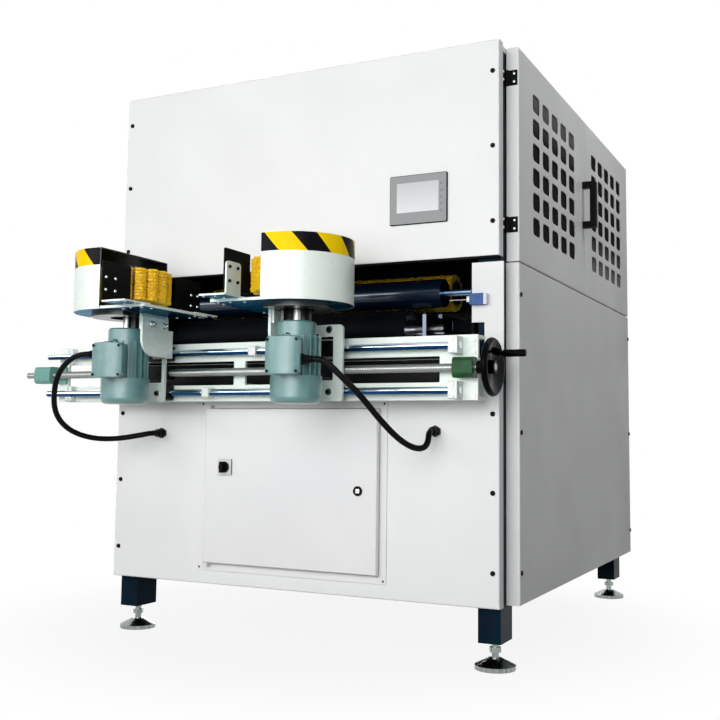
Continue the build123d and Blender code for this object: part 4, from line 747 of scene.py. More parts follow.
def grown(name, tree, start, values):
    """The plain mesh that a tree makes from a start mesh and its named input values."""
    holder = bpy.data.objects.new(name, start)
    scene.collection.objects.link(holder)
    grow = holder.modifiers.new("grow", "NODES")
    grow.node_group = tree
    for item in tree.interface.items_tree:
        if item.item_type == "SOCKET" and item.in_out == "INPUT" and item.name in values:
            grow[item.identifier] = values[item.name]
    mesh = bpy.data.meshes.new_from_object(holder.evaluated_get(bpy.context.evaluated_depsgraph_get()))
    mesh.name = name
    bpy.data.objects.remove(holder)
    return mesh


# %% The bristle tree: where each stalk stands
bristles, given, result = new_tree("bristle_strips", {
    "Strips": "Int", "Tufts": "Int", "Stalks": "Int", "Root radius": "Float", "Tip radius": "Float",
    "Height": "Float", "Root width": "Float", "Tip width": "Float", "Crown": "Float", "Ragged": "Float",
    "Heart depth": "Float", "Thickness": "Float", "Seed": "Int", "Fibre": "Material"})
draws = {}
spans = {"rise": (0.12, 0.88), "spread": (-1.0, 1.0), "ragged": (0.0, 1.0), "lean": (-0.14, 0.14),
         "shade": (0.0, 1.0)}
for salt, (name, (low, high)) in enumerate(spans.items(), 1):
    seed = add(bristles, MATH, {0: given["Seed"], 1: float(salt)}, operation="ADD")
    draws[name] = add(bristles, "FunctionNodeRandomValue", {2: low, 3: high, "Seed": seed}).outputs[1]
number = add(bristles, "GeometryNodeInputIndex")
per_strip = add(bristles, MATH, {0: given["Tufts"], 1: given["Stalks"]}, operation="MULTIPLY")
strips_before = add(bristles, MATH, {0: number, 1: per_strip}, operation="DIVIDE")
strip = add(bristles, MATH, {0: strips_before}, operation="FLOOR")
in_strip = add(bristles, MATH, {0: number, 1: per_strip}, operation="MODULO")
tufts_before = add(bristles, MATH, {0: in_strip, 1: given["Stalks"]}, operation="DIVIDE")
tuft = add(bristles, MATH, {0: tufts_before}, operation="FLOOR")
strip_angle = add(bristles, MATH, {0: 2 * math.pi, 1: given["Strips"]}, operation="DIVIDE")
turn = add(bristles, MATH, {0: strip, 1: strip_angle}, operation="MULTIPLY")
layer = add(bristles, MATH, {0: given["Height"], 1: given["Tufts"]}, operation="DIVIDE")
print("bristle tree so far:", len(bristles.nodes), "nodes")

# %% From root to tip
raised = add(bristles, MATH, {0: tuft, 1: draws["rise"]}, operation="ADD")
level_z = add(bristles, MATH, {0: raised, 1: layer}, operation="MULTIPLY")
edge = add(bristles, MATH, {0: draws["spread"], 1: draws["spread"]}, operation="MULTIPLY")
crown = add(bristles, MATH, {0: given["Crown"], 1: edge}, operation="MULTIPLY")
shorter = add(bristles, MATH, {0: given["Ragged"], 1: draws["ragged"], 2: crown}, operation="MULTIPLY_ADD")
tip_radius = add(bristles, MATH, {0: given["Tip radius"], 1: shorter}, operation="SUBTRACT")
aside = add(bristles, MATH, {0: draws["spread"], 1: 0.5}, operation="MULTIPLY")
root_side = add(bristles, MATH, {0: aside, 1: given["Root width"]}, operation="MULTIPLY")
tip_side = add(bristles, MATH, {0: aside, 1: given["Tip width"]}, operation="MULTIPLY")
tip_z = add(bristles, MATH, {0: layer, 1: draws["lean"], 2: level_z}, operation="MULTIPLY_ADD")
root = add(bristles, COMBINE, {0: given["Root radius"], 1: root_side, 2: level_z})
tip = add(bristles, COMBINE, {0: tip_radius, 1: tip_side, 2: tip_z})
reach = add(bristles, VECTOR, {0: tip, 1: root}, operation="SUBTRACT")
length = add(bristles, VECTOR, {0: reach}, operation="LENGTH").outputs["Value"]
start = add(bristles, "ShaderNodeVectorRotate", {"Vector": root, "Angle": turn}, rotation_type="Z_AXIS")
way = add(bristles, "ShaderNodeVectorRotate", {"Vector": reach, "Angle": turn}, rotation_type="Z_AXIS")
stalk_count = add(bristles, MATH, {0: given["Strips"], 1: per_strip}, operation="MULTIPLY")
stalk_points = add(bristles, "GeometryNodePoints", {"Count": stalk_count, "Position": start})
print("with root and tip:", len(bristles.nodes), "nodes")

# %% One crimped stalk, on every point
CRIMP_MM, CRIMP_WAVES = 0.9, 8.0
line = add(bristles, "GeometryNodeCurvePrimitiveLine", {"Start": (0, 0, 0), "End": (0, 0, 1)})
bent = add(bristles, "GeometryNodeResampleCurve", {"Curve": line, "Count": 4})
along = add(bristles, "GeometryNodeSplineParameter").outputs["Factor"]
wave = add(bristles, MATH, {0: along, 1: CRIMP_WAVES}, operation="MULTIPLY")
wave = add(bristles, MATH, {0: wave}, operation="SINE")
wave = add(bristles, MATH, {0: wave, 1: CRIMP_MM / 1000}, operation="MULTIPLY")
shift = add(bristles, COMBINE, {0: wave, 1: 0.0, 2: 0.0})
crimped = add(bristles, "GeometryNodeSetPosition", {"Geometry": bent, "Offset": shift})
marked = add(bristles, "GeometryNodeStoreNamedAttribute", {
    "Geometry": crimped, "Name": "along", "Value": along}, data_type="FLOAT", domain="POINT")
outline = add(bristles, "GeometryNodeCurvePrimitiveCircle", {"Resolution": 3, "Radius": given["Thickness"]})
stalk = add(bristles, "GeometryNodeCurveToMesh", {
    "Curve": marked, "Profile Curve": outline, "Fill Caps": True})
aim = add(bristles, "FunctionNodeAlignRotationToVector", {"Vector": way}, axis="Z")
size = add(bristles, COMBINE, {0: 1.0, 1: 1.0, 2: length})
stalks = add(bristles, "GeometryNodeInstanceOnPoints", {
    "Points": stalk_points, "Instance": stalk, "Rotation": aim, "Scale": size})
print("with the stalk:", len(bristles.nodes), "nodes")

# %% The dense heart of each tuft
HEART_FILL, HEART_WIDTH = 0.84, 0.94
heart_share = add(bristles, MATH, {0: number, 1: given["Tufts"]}, operation="DIVIDE")
heart_strip = add(bristles, MATH, {0: heart_share}, operation="FLOOR")
heart_row = add(bristles, MATH, {0: number, 1: given["Tufts"]}, operation="MODULO")
heart_turn = add(bristles, MATH, {0: heart_strip, 1: strip_angle}, operation="MULTIPLY")
heart_level = add(bristles, MATH, {0: heart_row, 1: 0.5}, operation="ADD")
heart_z = add(bristles, MATH, {0: heart_level, 1: layer}, operation="MULTIPLY")
seat = add(bristles, COMBINE, {0: given["Root radius"], 1: 0.0, 2: heart_z})
seat = add(bristles, "ShaderNodeVectorRotate", {"Vector": seat, "Angle": heart_turn}, rotation_type="Z_AXIS")
heart_count = add(bristles, MATH, {0: given["Strips"], 1: given["Tufts"]}, operation="MULTIPLY")
heart_points = add(bristles, "GeometryNodePoints", {"Count": heart_count, "Position": seat})
cube = add(bristles, "GeometryNodeMeshCube", {
    "Size": (1, 1, 1), "Vertices X": 3, "Vertices Y": 7, "Vertices Z": 2})
here = add(bristles, SPLIT, {0: add(bristles, "GeometryNodeInputPosition")}).outputs
outward = add(bristles, MATH, {0: here[0], 1: 0.5}, operation="ADD")
full = add(bristles, MATH, {0: given["Tip radius"], 1: given["Root radius"]}, operation="SUBTRACT")
full = add(bristles, MATH, {0: full, 1: given["Heart depth"]}, operation="SUBTRACT")
edge = add(bristles, MATH, {0: here[1], 1: here[1]}, operation="MULTIPLY")
edge = add(bristles, MATH, {0: edge, 1: 4.0}, operation="MULTIPLY")
sunk = add(bristles, MATH, {0: edge, 1: given["Crown"]}, operation="MULTIPLY")
heart_long = add(bristles, MATH, {0: full, 1: sunk}, operation="SUBTRACT")
heart_x = add(bristles, MATH, {0: outward, 1: heart_long}, operation="MULTIPLY")
tip_wide = add(bristles, MATH, {0: given["Tip width"], 1: HEART_WIDTH}, operation="MULTIPLY")
wide = add(bristles, RANGE, {"Value": outward, 3: given["Root width"], 4: tip_wide})
heart_y = add(bristles, MATH, {0: here[1], 1: wide}, operation="MULTIPLY")
thick = add(bristles, MATH, {0: layer, 1: HEART_FILL}, operation="MULTIPLY")
heart_up = add(bristles, MATH, {0: here[2], 1: thick}, operation="MULTIPLY")
moved = add(bristles, COMBINE, {0: heart_x, 1: heart_y, 2: heart_up})
heart = add(bristles, "GeometryNodeStoreNamedAttribute", {
    "Geometry": cube, "Name": "along", "Value": outward}, data_type="FLOAT", domain="POINT")
heart = add(bristles, "GeometryNodeSetPosition", {"Geometry": heart, "Position": moved})
heart_aim = add(bristles, "FunctionNodeAxisAngleToRotation", {"Axis": (0, 0, 1), "Angle": heart_turn})
hearts = add(bristles, "GeometryNodeInstanceOnPoints", {
    "Points": heart_points, "Instance": heart, "Rotation": heart_aim})
print("with the heart:", len(bristles.nodes), "nodes")

# %% Both together, made real
both = add(bristles, "GeometryNodeJoinGeometry")
bristles.links.new(stalks.outputs[0], both.inputs[0])
bristles.links.new(hearts.outputs[0], both.inputs[0])
tinted = add(bristles, "GeometryNodeStoreNamedAttribute", {
    "Geometry": both, "Name": "shade", "Value": draws["shade"]}, data_type="FLOAT", domain="INSTANCE")
real = add(bristles, "GeometryNodeRealizeInstances", {"Geometry": tinted})
dyed = add(bristles, "GeometryNodeSetMaterial", {"Geometry": real, "Material": given["Fibre"]})
joined = add(bristles, "GeometryNodeJoinGeometry")
bristles.links.new(given["Geometry"], joined.inputs[0])
bristles.links.new(dyed.outputs[0], joined.inputs[0])
bristles.links.new(joined.outputs[0], result.inputs[0])
print("bristle tree:", len(bristles.nodes), "nodes")

# %% Abrasive fibre
SHADE_UP_TO, YELLOW_FROM = 0.05, 0.6
# Dyed natural fibre bundles: waxy and strongly yellow at the tips; browner down at the root, which is
# painted shade deep inside the brush.
abrasive_fibre = bpy.data.materials.new("abrasive_fibre")
abrasive_fibre.use_nodes = True
tree = abrasive_fibre.node_tree
shader = tree.nodes["Principled BSDF"]
shader.inputs["Sheen Weight"].default_value = 0.2
depth = add(tree, "ShaderNodeAttribute", attribute_name="along").outputs["Fac"]
bundle = add(tree, "ShaderNodeAttribute", attribute_name="shade").outputs["Fac"]
fibre = add(tree, MIX, {0: bundle, 6: rgb("#ffe216"), 7: rgb("#ffd00c")}, data_type="RGBA")
inward = add(tree, RANGE, {"Value": depth, 1: SHADE_UP_TO, 2: YELLOW_FROM})
root_shade = add(tree, MIX, {0: inward, 6: rgb("#8a690c"), 7: fibre.outputs[2]}, data_type="RGBA")
tree.links.new(root_shade.outputs[2], shader.inputs["Base Color"])
waxy = add(tree, RANGE, {"Value": bundle, 3: 0.4, 4: 0.6})
tree.links.new(waxy.outputs[0], shader.inputs["Roughness"])
print("fibre shader:", len(tree.nodes), "nodes")

# %% The two upright brushes
BRUSH_LOW, BRUSH_HIGH = 1030.0, 1123.0
DRUM_BORE, DRUM_RADIUS = 46, 54
drum_height = BRUSH_HIGH - BRUSH_LOW
drum_profile = [(DRUM_BORE, 0), (DRUM_RADIUS, 0), (DRUM_RADIUS, drum_height), (DRUM_BORE, drum_height)]
brush_phase = {"left": 7.0, "right": -7.0}
for side, (axis_x, axis_y) in HEAD_AXES.items():
    body = turned(side + "_strip_brush", drum_profile, 72, ring=True)
    body.materials.append(turned_alloy)
    mesh = grown(side + "_strip_brush", bristles, body, {
        "Strips": 18, "Tufts": 10, "Stalks": 36, "Root radius": 0.053, "Tip radius": 0.130,
        "Height": drum_height / 1000, "Root width": 0.012, "Tip width": 0.034, "Crown": 0.011,
        "Ragged": 0.003, "Heart depth": 0.006, "Thickness": 0.0014, "Seed": 7, "Fibre": abrasive_fibre})
    turn = Matrix.Rotation(math.radians(brush_phase[side]), 4, "Z")
    mesh.transform(Matrix.Translation(at(axis_x, axis_y, BRUSH_LOW)) @ turn)
    stand(mesh, side + "_brush", "bristle_yellow", side + "_brush")
    print(side, "brush:", len(mesh.polygons), "faces")

# %% The cylinder brush behind the mouth
CYLINDER_FROM, CYLINDER_TO, CYLINDER_Y, CYLINDER_Z = 110.0, 1050.0, 400.0, 1108.0
CORE_RADIUS, CORE_BREAK = 40, 2
SHAFT_RADIUS, SHAFT_LEFT, SHAFT_RIGHT = 12, 80, 191
run = CYLINDER_TO - CYLINDER_FROM
core = turned("cylinder_brush", [
    (SHAFT_RADIUS, -SHAFT_LEFT), (SHAFT_RADIUS, 0), (CORE_RADIUS - CORE_BREAK, 0), (CORE_RADIUS, CORE_BREAK),
    (CORE_RADIUS, run - CORE_BREAK), (CORE_RADIUS - CORE_BREAK, run), (SHAFT_RADIUS, run),
    (SHAFT_RADIUS, run + SHAFT_RIGHT)], 40)
core.materials.append(turned_alloy)
mesh = grown("cylinder_brush", bristles, core, {
    "Strips": 14, "Tufts": 60, "Stalks": 8, "Root radius": 0.039, "Tip radius": 0.062, "Height": run / 1000,
    "Root width": 0.012, "Tip width": 0.022, "Crown": 0.003, "Ragged": 0.002, "Heart depth": 0.003,
    "Thickness": 0.0016, "Seed": 11, "Fibre": abrasive_fibre})
mesh.transform(Matrix.Translation(at(CYLINDER_FROM, CYLINDER_Y, CYLINDER_Z)) @ Z_TO_X)
stand(mesh, "inner_brush_roller", "bristle_yellow", "inner_brush_roller")
print("cylinder brush:", len(mesh.polygons), "faces")

# %% [markdown]
# ## Lead screw
#
# The lead screw moves both carriages, 10 mm for each turn of the wheel, with a two-start thread between
# its journals. Its form follows a rule: the radius depends only on the height minus the turn. A tree
# sweeps a circle up a line and then moves every point out to the radius that the rule gives it.

# %% The thread tree
thread, given, result = new_tree("trapezoid_thread", {
    "Length": "Float", "Core radius": "Float", "Crest radius": "Float", "Pitch": "Float", "Starts": "Int",
    "Steel": "Material"})
STEPS_PER_PITCH = 5.0
ROOT_END, CREST_START = 0.15, 0.32
end = add(thread, COMBINE, {2: given["Length"]})
line = add(thread, "GeometryNodeCurvePrimitiveLine", {"Start": (0, 0, 0), "End": end})
pitches = add(thread, MATH, {0: given["Length"], 1: given["Pitch"]}, operation="DIVIDE")
rings = add(thread, MATH, {0: pitches, 1: STEPS_PER_PITCH}, operation="MULTIPLY")
fine = add(thread, "GeometryNodeResampleCurve", {"Curve": line, "Count": rings})
round_bar = add(thread, "GeometryNodeCurvePrimitiveCircle", {
    "Resolution": 16, "Radius": given["Core radius"]})
bar = add(thread, "GeometryNodeCurveToMesh", {
    "Curve": fine, "Profile Curve": round_bar, "Fill Caps": True})
here = add(thread, SPLIT, {0: add(thread, "GeometryNodeInputPosition")}).outputs
angle = add(thread, MATH, {0: here[1], 1: here[0]}, operation="ARCTAN2")
turns = add(thread, MATH, {0: angle, 1: 2 * math.pi}, operation="DIVIDE")
threads = add(thread, MATH, {0: turns, 1: given["Starts"]}, operation="MULTIPLY")
climb = add(thread, MATH, {0: here[2], 1: given["Pitch"]}, operation="DIVIDE")
phase = add(thread, MATH, {0: climb, 1: threads}, operation="SUBTRACT")
phase = add(thread, MATH, {0: phase}, operation="FRACT")
flank = add(thread, MATH, {0: phase, 1: 0.5}, operation="PINGPONG")
wall = add(thread, RANGE, {
    "Value": flank, 1: ROOT_END, 2: CREST_START, 3: given["Core radius"], 4: given["Crest radius"]})
swell = add(thread, MATH, {0: wall, 1: given["Core radius"]}, operation="DIVIDE")
out_x = add(thread, MATH, {0: here[0], 1: swell}, operation="MULTIPLY")
out_y = add(thread, MATH, {0: here[1], 1: swell}, operation="MULTIPLY")
moved = add(thread, COMBINE, {0: out_x, 1: out_y, 2: here[2]})
cut = add(thread, "GeometryNodeSetPosition", {"Geometry": bar, "Position": moved})
joined = add(thread, "GeometryNodeJoinGeometry")
thread.links.new(given["Geometry"], joined.inputs[0])
thread.links.new(cut.outputs[0], joined.inputs[0])
real = add(thread, "GeometryNodeRealizeInstances", {"Geometry": joined})
bright = add(thread, "GeometryNodeSetMaterial", {"Geometry": real, "Material": given["Steel"]})
thread.links.new(bright.outputs[0], result.inputs[0])
print("thread tree:", len(thread.nodes), "nodes")

# %% The threaded screw
SCREW_ENDS = (-285.0, 1362.0)
THREAD_ENDS = (-166.0, 1240.0)
SCREW_Y, SCREW_Z = -122, 828
from_end, to_end = (end - THREAD_ENDS[0] for end in SCREW_ENDS)
journals = turned("threaded_lead_screw", [
    (9, from_end), (10, from_end + 1), (10, to_end - 1), (9, to_end)], 24)
mesh = grown("threaded_lead_screw", thread, journals, {
    "Length": (THREAD_ENDS[1] - THREAD_ENDS[0]) / 1000, "Core radius": 0.0112, "Crest radius": 0.012,
    "Pitch": 0.005, "Starts": 2, "Steel": drawn_steel})
mesh.transform(Matrix.Translation(at(THREAD_ENDS[0], SCREW_Y, SCREW_Z)) @ Z_TO_X)
stand(mesh, "lead_screw", "steel", "lead_screw")
print("lead screw:", len(mesh.polygons), "faces")

# %% [markdown]
# ## Warning tape
#
# A strip of yellow and black vinyl goes round the top of each hood. It could be painted into the
# hood's material, but real tape has an edge and its own gloss, so it is a thin shell that lies on the
# hood. Its UV map is measured along the arc and up the hood in metres, so the stripes keep their true
# width and slant as they go round.

# %% Striped vinyl
STRIPE_PERIOD_MM, YELLOW_SHARE = 143.8, 0.53
STRIPE_SLANT, INK_CLOUD_MM = 0.88, 30
# Printed vinyl film under a clear gloss layer: even colours with sharp highlights.
striped_vinyl = bpy.data.materials.new("striped_vinyl")
striped_vinyl.use_nodes = True
tree = striped_vinyl.node_tree
shader = tree.nodes["Principled BSDF"]
shader.inputs["Specular IOR Level"].default_value = 0.04
flat = add(tree, SPLIT, {0: add(tree, "ShaderNodeUVMap", uv_map="arc_and_height")}).outputs
path = add(tree, MATH, {0: flat[1], 1: STRIPE_SLANT, 2: flat[0]}, operation="MULTIPLY_ADD")
count = add(tree, MATH, {0: path, 1: STRIPE_PERIOD_MM / 1000}, operation="DIVIDE")
part = add(tree, MATH, {0: count}, operation="FRACT")
black = add(tree, MATH, {0: part, 1: YELLOW_SHARE}, operation="GREATER_THAN")
place = add(tree, "ShaderNodeTexCoord").outputs["Object"]
cloud = add(tree, NOISE, {"Vector": place, "Scale": 1000 / INK_CLOUD_MM})
yellow = add(tree, MIX, {0: cloud, 6: rgb("#ffe405"), 7: rgb("#ffc803")}, data_type="RGBA")
print_ink = add(tree, MIX, {0: black, 6: yellow.outputs[2], 7: rgb("#0d0d12")}, data_type="RGBA")
tree.links.new(print_ink.outputs[2], shader.inputs["Base Color"])
film = add(tree, RANGE, {"Value": cloud, 3: 0.2, 4: 0.34})
tree.links.new(film.outputs[0], shader.inputs["Roughness"])
print("a yellow stripe every", STRIPE_PERIOD_MM, "mm")

# %% Tape round both hoods
HOOD_RADIUS, TAPE_LOW, TAPE_HIGH = 156.0, 1124.0, 1174.0
TAPE_INNER, TAPE_OUTER = HOOD_RADIUS + 0.06, HOOD_RADIUS + 0.3
TAPE_STEPS = 72
# Degrees round the hood: the start and end of the tape, and the start of a yellow stripe.
TAPE_SPANS = {"right": (-98.7, 98.7, -94.8), "left": (81.3, 278.7, 226.5)}
for side, (first, last, yellow_from) in TAPE_SPANS.items():
    axis_x, axis_y = HEAD_AXES[side]
    verts, faces, flat_map = [], [], []
    for i in range(TAPE_STEPS + 1):
        degrees = first + (last - first) * i / TAPE_STEPS
        turn = math.radians(degrees)
        for radius, height in ((TAPE_INNER, TAPE_LOW), (TAPE_OUTER, TAPE_LOW), (TAPE_OUTER, TAPE_HIGH),
                               (TAPE_INNER, TAPE_HIGH)):
            verts.append(at(axis_x + radius * math.cos(turn), axis_y + radius * math.sin(turn), height))
            along_hood = math.radians(degrees - yellow_from) * HOOD_RADIUS
            flat_map.append((along_hood / 1000, (height - TAPE_HIGH) / 1000))
        if i:
            for k in range(4):
                a, b = (i - 1) * 4 + k, (i - 1) * 4 + (k + 1) % 4
                faces.append((a, a + 4, b + 4, b))
    faces.append((0, 1, 2, 3))
    faces.append((len(verts) - 1, len(verts) - 2, len(verts) - 3, len(verts) - 4))
    mesh = bpy.data.meshes.new(side + "_warning_tape")
    mesh.from_pydata(verts, [], faces)
    layer = mesh.uv_layers.new(name="arc_and_height")
    for loop in mesh.loops:
        layer.data[loop.index].uv = flat_map[loop.vertex_index]
    mesh.materials.append(striped_vinyl)
    mesh.shade_smooth()
    stand(mesh, side + "_head", "bristle_yellow")
    print(side, "tape:", round(math.radians(last - first) * HOOD_RADIUS), "mm long")

# %% [markdown]
# ## Filter mats and a dark sheet for shade
#
# The holes of the grilles show something dark with grey patches. It is taken to be a pleated filter mat
# on which dust has settled. A bent dark sheet over the cylinder brush stands in for shade: it keeps the
# room behind it dark. Both are folded sheets that keep one section over their whole length, so one
# function sweeps a folded line straight along and gives it a thickness.

# %% A folded sheet


def folded(name, line, thickness, sweep):
    """A sheet with a folded section. Line has points in mm, and sweep is the way along in metres."""
    points = [at(*p) for p in line]
    normals = []
    for i in range(len(points)):
        run = points[min(i + 1, len(points) - 1)] - points[max(i - 1, 0)]
        normals.append(run.cross(sweep).normalized() * thickness / 1000)
    verts = []
    for point, normal in zip(points, normals):
        verts += [point, point + normal, point + normal + sweep, point + sweep]
    faces = []
    for i in range(len(points) - 1):
        for k in range(4):
            a, b = i * 4 + k, i * 4 + (k + 1) % 4
            faces.append((a, b, b + 4, a + 4))
    faces.append((3, 2, 1, 0))
    faces.append(tuple(len(verts) - 4 + k for k in range(4)))
    mesh = bpy.data.meshes.new(name)
    mesh.from_pydata(verts, [], faces)
    return mesh


# %% Pleated mats
MAT_LOW, MAT_HIGH, PLEAT_MM, FLEECE_MM = 1240.0, 1688.0, 12.0, 1.2
MAT_NEAR, MAT_FAR = 1358.0, 1352.0
# Dust thickens up the door and down the rear panel. Heights are in metres.
DOOR_DUST, REAR_DUST, DUST_MOST = (1.56, 1.70), (1.40, 1.25), 0.9
REAR_PANEL_Y = 830
# Pleated filter fleece: charcoal, matt, and greyer in patches.
filter_fleece = coat("filter_fleece", "#131313", "#1d1d1c", 0.8, 1.2, 0.2, 30, Specular_IOR_Level=0.1)
mats = {"door_filter_mat": ("side_door", 219.0, 715.0), "rear_filter_mat": ("machine", 949.0, 1445.0)}
tree = filter_fleece.node_tree
place = add(tree, SPLIT, {0: add(tree, "ShaderNodeTexCoord").outputs["Object"]}).outputs
on_door = add(tree, RANGE, {"Value": place["Z"], 1: DOOR_DUST[0], 2: DOOR_DUST[1], 3: 0.0, 4: DUST_MOST})
on_rear = add(tree, RANGE, {"Value": place["Z"], 1: REAR_DUST[0], 2: REAR_DUST[1], 3: 0.0, 4: DUST_MOST})
rear = add(tree, MATH, {0: place["Y"], 1: at(0, REAR_PANEL_Y, 0).y}, operation="GREATER_THAN")
dust = add(tree, MIX, {0: rear, 2: on_door, 3: on_rear}, data_type="FLOAT")
over_paint(filter_fleece, "#8b8b89", dust)
for name, (body, rear_end, front_end) in mats.items():
    folds = int((front_end - rear_end) / PLEAT_MM)
    line = [(MAT_NEAR if i % 2 else MAT_FAR, rear_end + i * PLEAT_MM, MAT_LOW) for i in range(folds + 1)]
    mesh = folded(name, line, FLEECE_MM, Vector((0, 0, (MAT_HIGH - MAT_LOW) / 1000)))
    mesh.materials.append(filter_fleece)
    stand(mesh, body, "inner_grey")
    print(name, folds, "pleats")

# %% A dark sheet for shade over the cylinder brush
SHADE_SHEET_MM, SHADE_SHEET_LONG = 2.0, 1148
shade_sheet_line = [(42, 470, 1050), (42, 470, 1215), (42, 420, 1262), (42, 300, 1262), (42, 300, 1240)]
mesh = folded("brush_guard", shade_sheet_line, SHADE_SHEET_MM, Vector((SHADE_SHEET_LONG / 1000, 0, 0)))
mesh.materials.append(inner_dark_enamel)
stand(mesh, "machine", "inner_grey")
print("brush guard:", len(mesh.polygons), "faces")

# %% [markdown]
# ## Screws and keys
#
# Screws hold the fences, brackets, motors, hinges and frames, and the terminal has a column of keys.
# Each kind of head is modelled once, with few faces. A tree puts a copy on every point of a mesh,
# turned to the point's own axis and scaled to its own size, and all the screws of one body become one
# piece.

# %% The screw tree
screw_tree, given, result = new_tree("screws_on_points", {"Head": "Object", "Metal": "Material"})
axis = add(screw_tree, "GeometryNodeInputNamedAttribute", {"Name": "axis"}, data_type="FLOAT_VECTOR")
radius = add(screw_tree, "GeometryNodeInputNamedAttribute", {"Name": "radius"}, data_type="FLOAT")
aim = add(screw_tree, "FunctionNodeAlignRotationToVector", {"Vector": axis}, axis="Z")
head = add(screw_tree, "GeometryNodeObjectInfo", {"Object": given["Head"]})
placed = add(screw_tree, "GeometryNodeInstanceOnPoints", {
    "Points": given["Geometry"], "Instance": head.outputs["Geometry"], "Rotation": aim, "Scale": radius})
real = add(screw_tree, "GeometryNodeRealizeInstances", {"Geometry": placed})
plated = add(screw_tree, "GeometryNodeSetMaterial", {"Geometry": real, "Material": given["Metal"]})
screw_tree.links.new(plated.outputs[0], result.inputs[0])
print("screw tree:", len(screw_tree.nodes), "nodes")

# %% Kinds of head
# Heights and radii are shares of the head's radius, in thousandths, because the tree scales the head.
QUARTER = Matrix.Rotation(math.pi / 4, 4, "Z")
head_kinds = {
    "button": turned("button_head", [
        (1000, 0), (1000, 180), (800, 480), (470, 600), (470, 300), (20, 300)], 10),
    "cap": turned("cap_head", [
        (1000, 0), (1000, 900), (900, 1000), (560, 1000), (560, 500), (20, 500)], 10),
    "hex": turned("hex_nut", [
        (1150, 0), (1150, 640), (1000, 760), (640, 760), (640, 1150), (20, 1150)], 6),
    "washer": turned("plain_washer", [(1000, 0), (1000, 120), (950, 160), (20, 160)], 16),
    "key": turned("key_pad", [(1000, 0), (1000, 90), (900, 150), (20, 150)], 4, QUARTER),
}
heads = {}
for kind, mesh in head_kinds.items():
    heads[kind] = bpy.data.objects.new(mesh.name, mesh)
    scene.collection.objects.link(heads[kind])
print("kinds of head:", list(heads))

# %% Screws of one kind on one body
OUT_X, OUT_Y, UPWARD, UNDER = Vector((1, 0, 0)), Vector((0, -1, 0)), Vector((0, 0, 1)), Vector((0, 0, -1))


def screws(name, body, kind, metal, slot, places):
    """Screws of one kind on one body. Places are (point in mm, axis, head radius in mm)."""
    cloud = bpy.data.meshes.new(name)
    cloud.from_pydata([at(*point) for point, _, _ in places], [], [])
    axes = cloud.attributes.new("axis", "FLOAT_VECTOR", "POINT")
    axes.data.foreach_set("vector", [c for _, axis, _ in places for c in axis])
    sizes = cloud.attributes.new("radius", "FLOAT", "POINT")
    sizes.data.foreach_set("value", [size / 1000 for _, _, size in places])
    mesh = grown(name, screw_tree, cloud, {"Head": heads[kind], "Metal": metal})
    stand(mesh, body, slot)
    print(name, len(places))


# %% Where a head's pieces are
# Places on a head are given from its axis: u towards the other head, v to the rear. In the photograph
# the front fences are bolted on at slightly different places.
fence_bolts = {
    "left": [(-215, 1074), (-176, 1074), (-215, 1039), (-176, 1039)],
    "right": [(-200, 1081), (-162, 1081), (-200, 1043), (-162, 1043)],
}
rear_bolts = [(179, 1073), (212, 1073), (179, 1040), (212, 1040)]
foot_bolts = [(128, 208), (165, 208), (128, 167), (165, 167)]
plate_bolts = [(127, 139), (165, 139), (90, 125), (172, 104)]
LID_BOW, LID_FRONT, LID_SCREW_SIDE, LID_MIDDLE, LID_SCREW_RISE = 79.1, 125.0, 40.0, 852.0, 42.0
bow_angle = math.asin(LID_SCREW_SIDE / LID_BOW)
lid_depth = LID_FRONT - LID_BOW * (1 - math.cos(bow_angle))
FENCE_FACE, FENCE_BACK = 100, 91
FLANGE_CIRCLE, FLANGE_TOP, FLANGE_TURN = 60, 912, -95
TILT_FACE, TILT_Z, TILT_V = 84.3, 966, (13, 77)
NUT_LIFT = 1.7
print("lid screws:", round(lid_depth, 1), "mm in front of the motor axis")

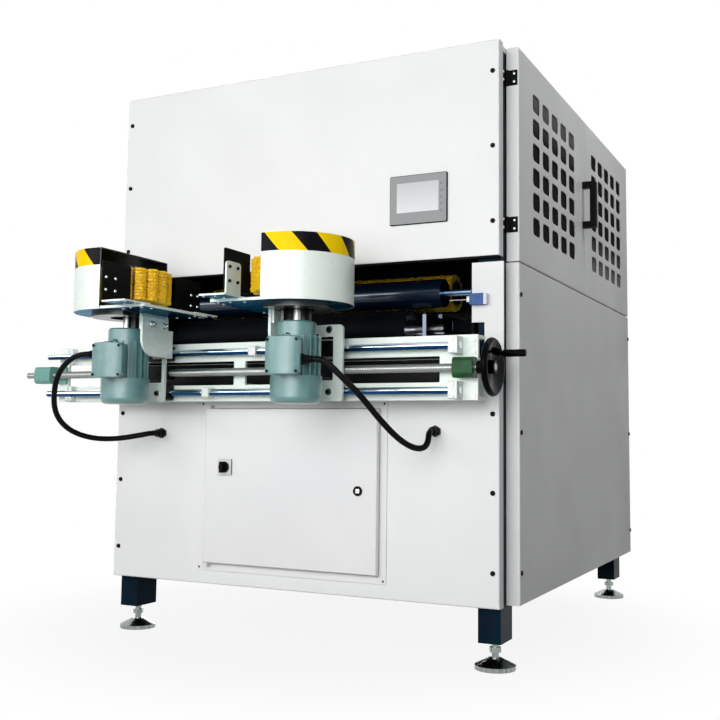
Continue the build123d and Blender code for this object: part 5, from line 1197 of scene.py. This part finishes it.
# %% Screws on the two heads
for side, mirror in (("left", 1), ("right", -1)):
    inward = OUT_X * mirror
    axis_x, axis_y = HEAD_AXES[side]
    bolts = fence_bolts[side] + rear_bolts
    places = [((axis_x + mirror * FENCE_FACE, axis_y + v, z), inward, 4.6) for v, z in bolts]
    for underside, spots in ((FOOT_UNDERSIDE, foot_bolts), (PLATE_UNDERSIDE, plate_bolts)):
        places += [((axis_x + mirror * u, axis_y + way * v, underside), UNDER, 4.6)
                   for u, v in spots for way in (-1, 1)]
    screws(side + "_head_screws", side + "_head", "button", stainless_head, "steel", places)
    places = [((axis_x + mirror * FENCE_BACK, axis_y + v, z), -inward, 4.4) for v, z in bolts]
    for quarter in range(4):
        turn = BOX_TURN + math.radians(90 * quarter + FLANGE_TURN)
        spot = Vector((math.cos(turn), math.sin(turn))) * FLANGE_CIRCLE
        places.append(((axis_x + spot.x, axis_y + spot.y, FLANGE_TOP), UPWARD, 4.6))
    for side_way in (-1, 1):
        facing = BOX_TURN - math.pi / 2 + side_way * bow_angle
        out = Vector((math.cos(facing), math.sin(facing), 0))
        ahead = Vector((math.sin(BOX_TURN), -math.cos(BOX_TURN), 0)) * lid_depth
        aside = Vector((math.cos(BOX_TURN), math.sin(BOX_TURN), 0)) * LID_SCREW_SIDE * side_way
        spot = ahead + aside
        places += [((axis_x + spot.x, axis_y + spot.y, LID_MIDDLE + rise), out, 4.2)
                   for rise in (-LID_SCREW_RISE, LID_SCREW_RISE)]
    screws(side + "_dark_screws", side + "_head", "cap", black_oxide, "fence_black", places)
    places = [((axis_x + mirror * TILT_FACE, axis_y + v, TILT_Z), inward, 7.0) for v in TILT_V]
    screws(side + "_tilt_caps", side + "_head", "cap", stainless_head, "steel", places)
    spots = [(-35, -150, 941), (-35, -150, 764), (23, -158, 941), (23, -150, 764)]
    places = [((axis_x + mirror * u, y, z), OUT_Y, 11.0) for u, y, z in spots]
    screws(side + "_plate_washers", side + "_carriage", "washer", stainless_head, "steel", places)
    places = [((axis_x + mirror * u, y - NUT_LIFT, z), OUT_Y, 6.5) for u, y, z in spots]
    screws(side + "_plate_bolts", side + "_carriage", "hex", black_oxide, "steel", places)

# %% Screws on the beam and the cabinet
SUPPORT_FACES, RAIL_HEIGHTS = ((-110, -122), (1248, -146)), (767, 889)
blocks = [((x, y, z + dz), OUT_Y, 4.2) for x, y in SUPPORT_FACES for z in RAIL_HEIGHTS for dz in (-17, 17)]
blocks += [((1292, -98, z), OUT_Y, 5.0) for z in (752, 872, 904)]
blocks += [((595, -137, 889), OUT_Y, 3.6), ((431, -137, 767), OUT_Y, 3.6)]
screws("beam_screws", "machine", "cap", stainless_head, "steel", blocks)
hinge_z = (1251.0, 1685.0)
leaves = [((1325, 52, z + dz), OUT_X, 4.5) for z in hinge_z for dz in (-12, 12)]
screws("hinge_post_screws", "machine", "button", stainless_head, "steel", leaves)
leaves = [((1348, 80, z + dz), OUT_Y, 4.5) for z in hinge_z for dz in (-12, 12)]
screws("hinge_door_screws", "side_door", "button", stainless_head, "steel", leaves)
corners = [((x, -4, z), OUT_Y, 3.4) for x in (344, 982) for z in (227, 735)]
screws("electrical_frame_screws", "machine", "button", black_oxide, "steel", corners)
keys = [((1157, -7, 1291 + 20 * row), OUT_Y, 5.6) for row in range(5)]
screws("terminal_keys", "machine", "key", key_grey_film, "terminal_grey", keys)
for holder in heads.values():
    bpy.data.objects.remove(holder)

# %% [markdown]
# ## Size
#
# The dressed machine has to keep the size of its CAD model, so the box of everything shown is measured.

# %% Size of the dressed machine
low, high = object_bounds()
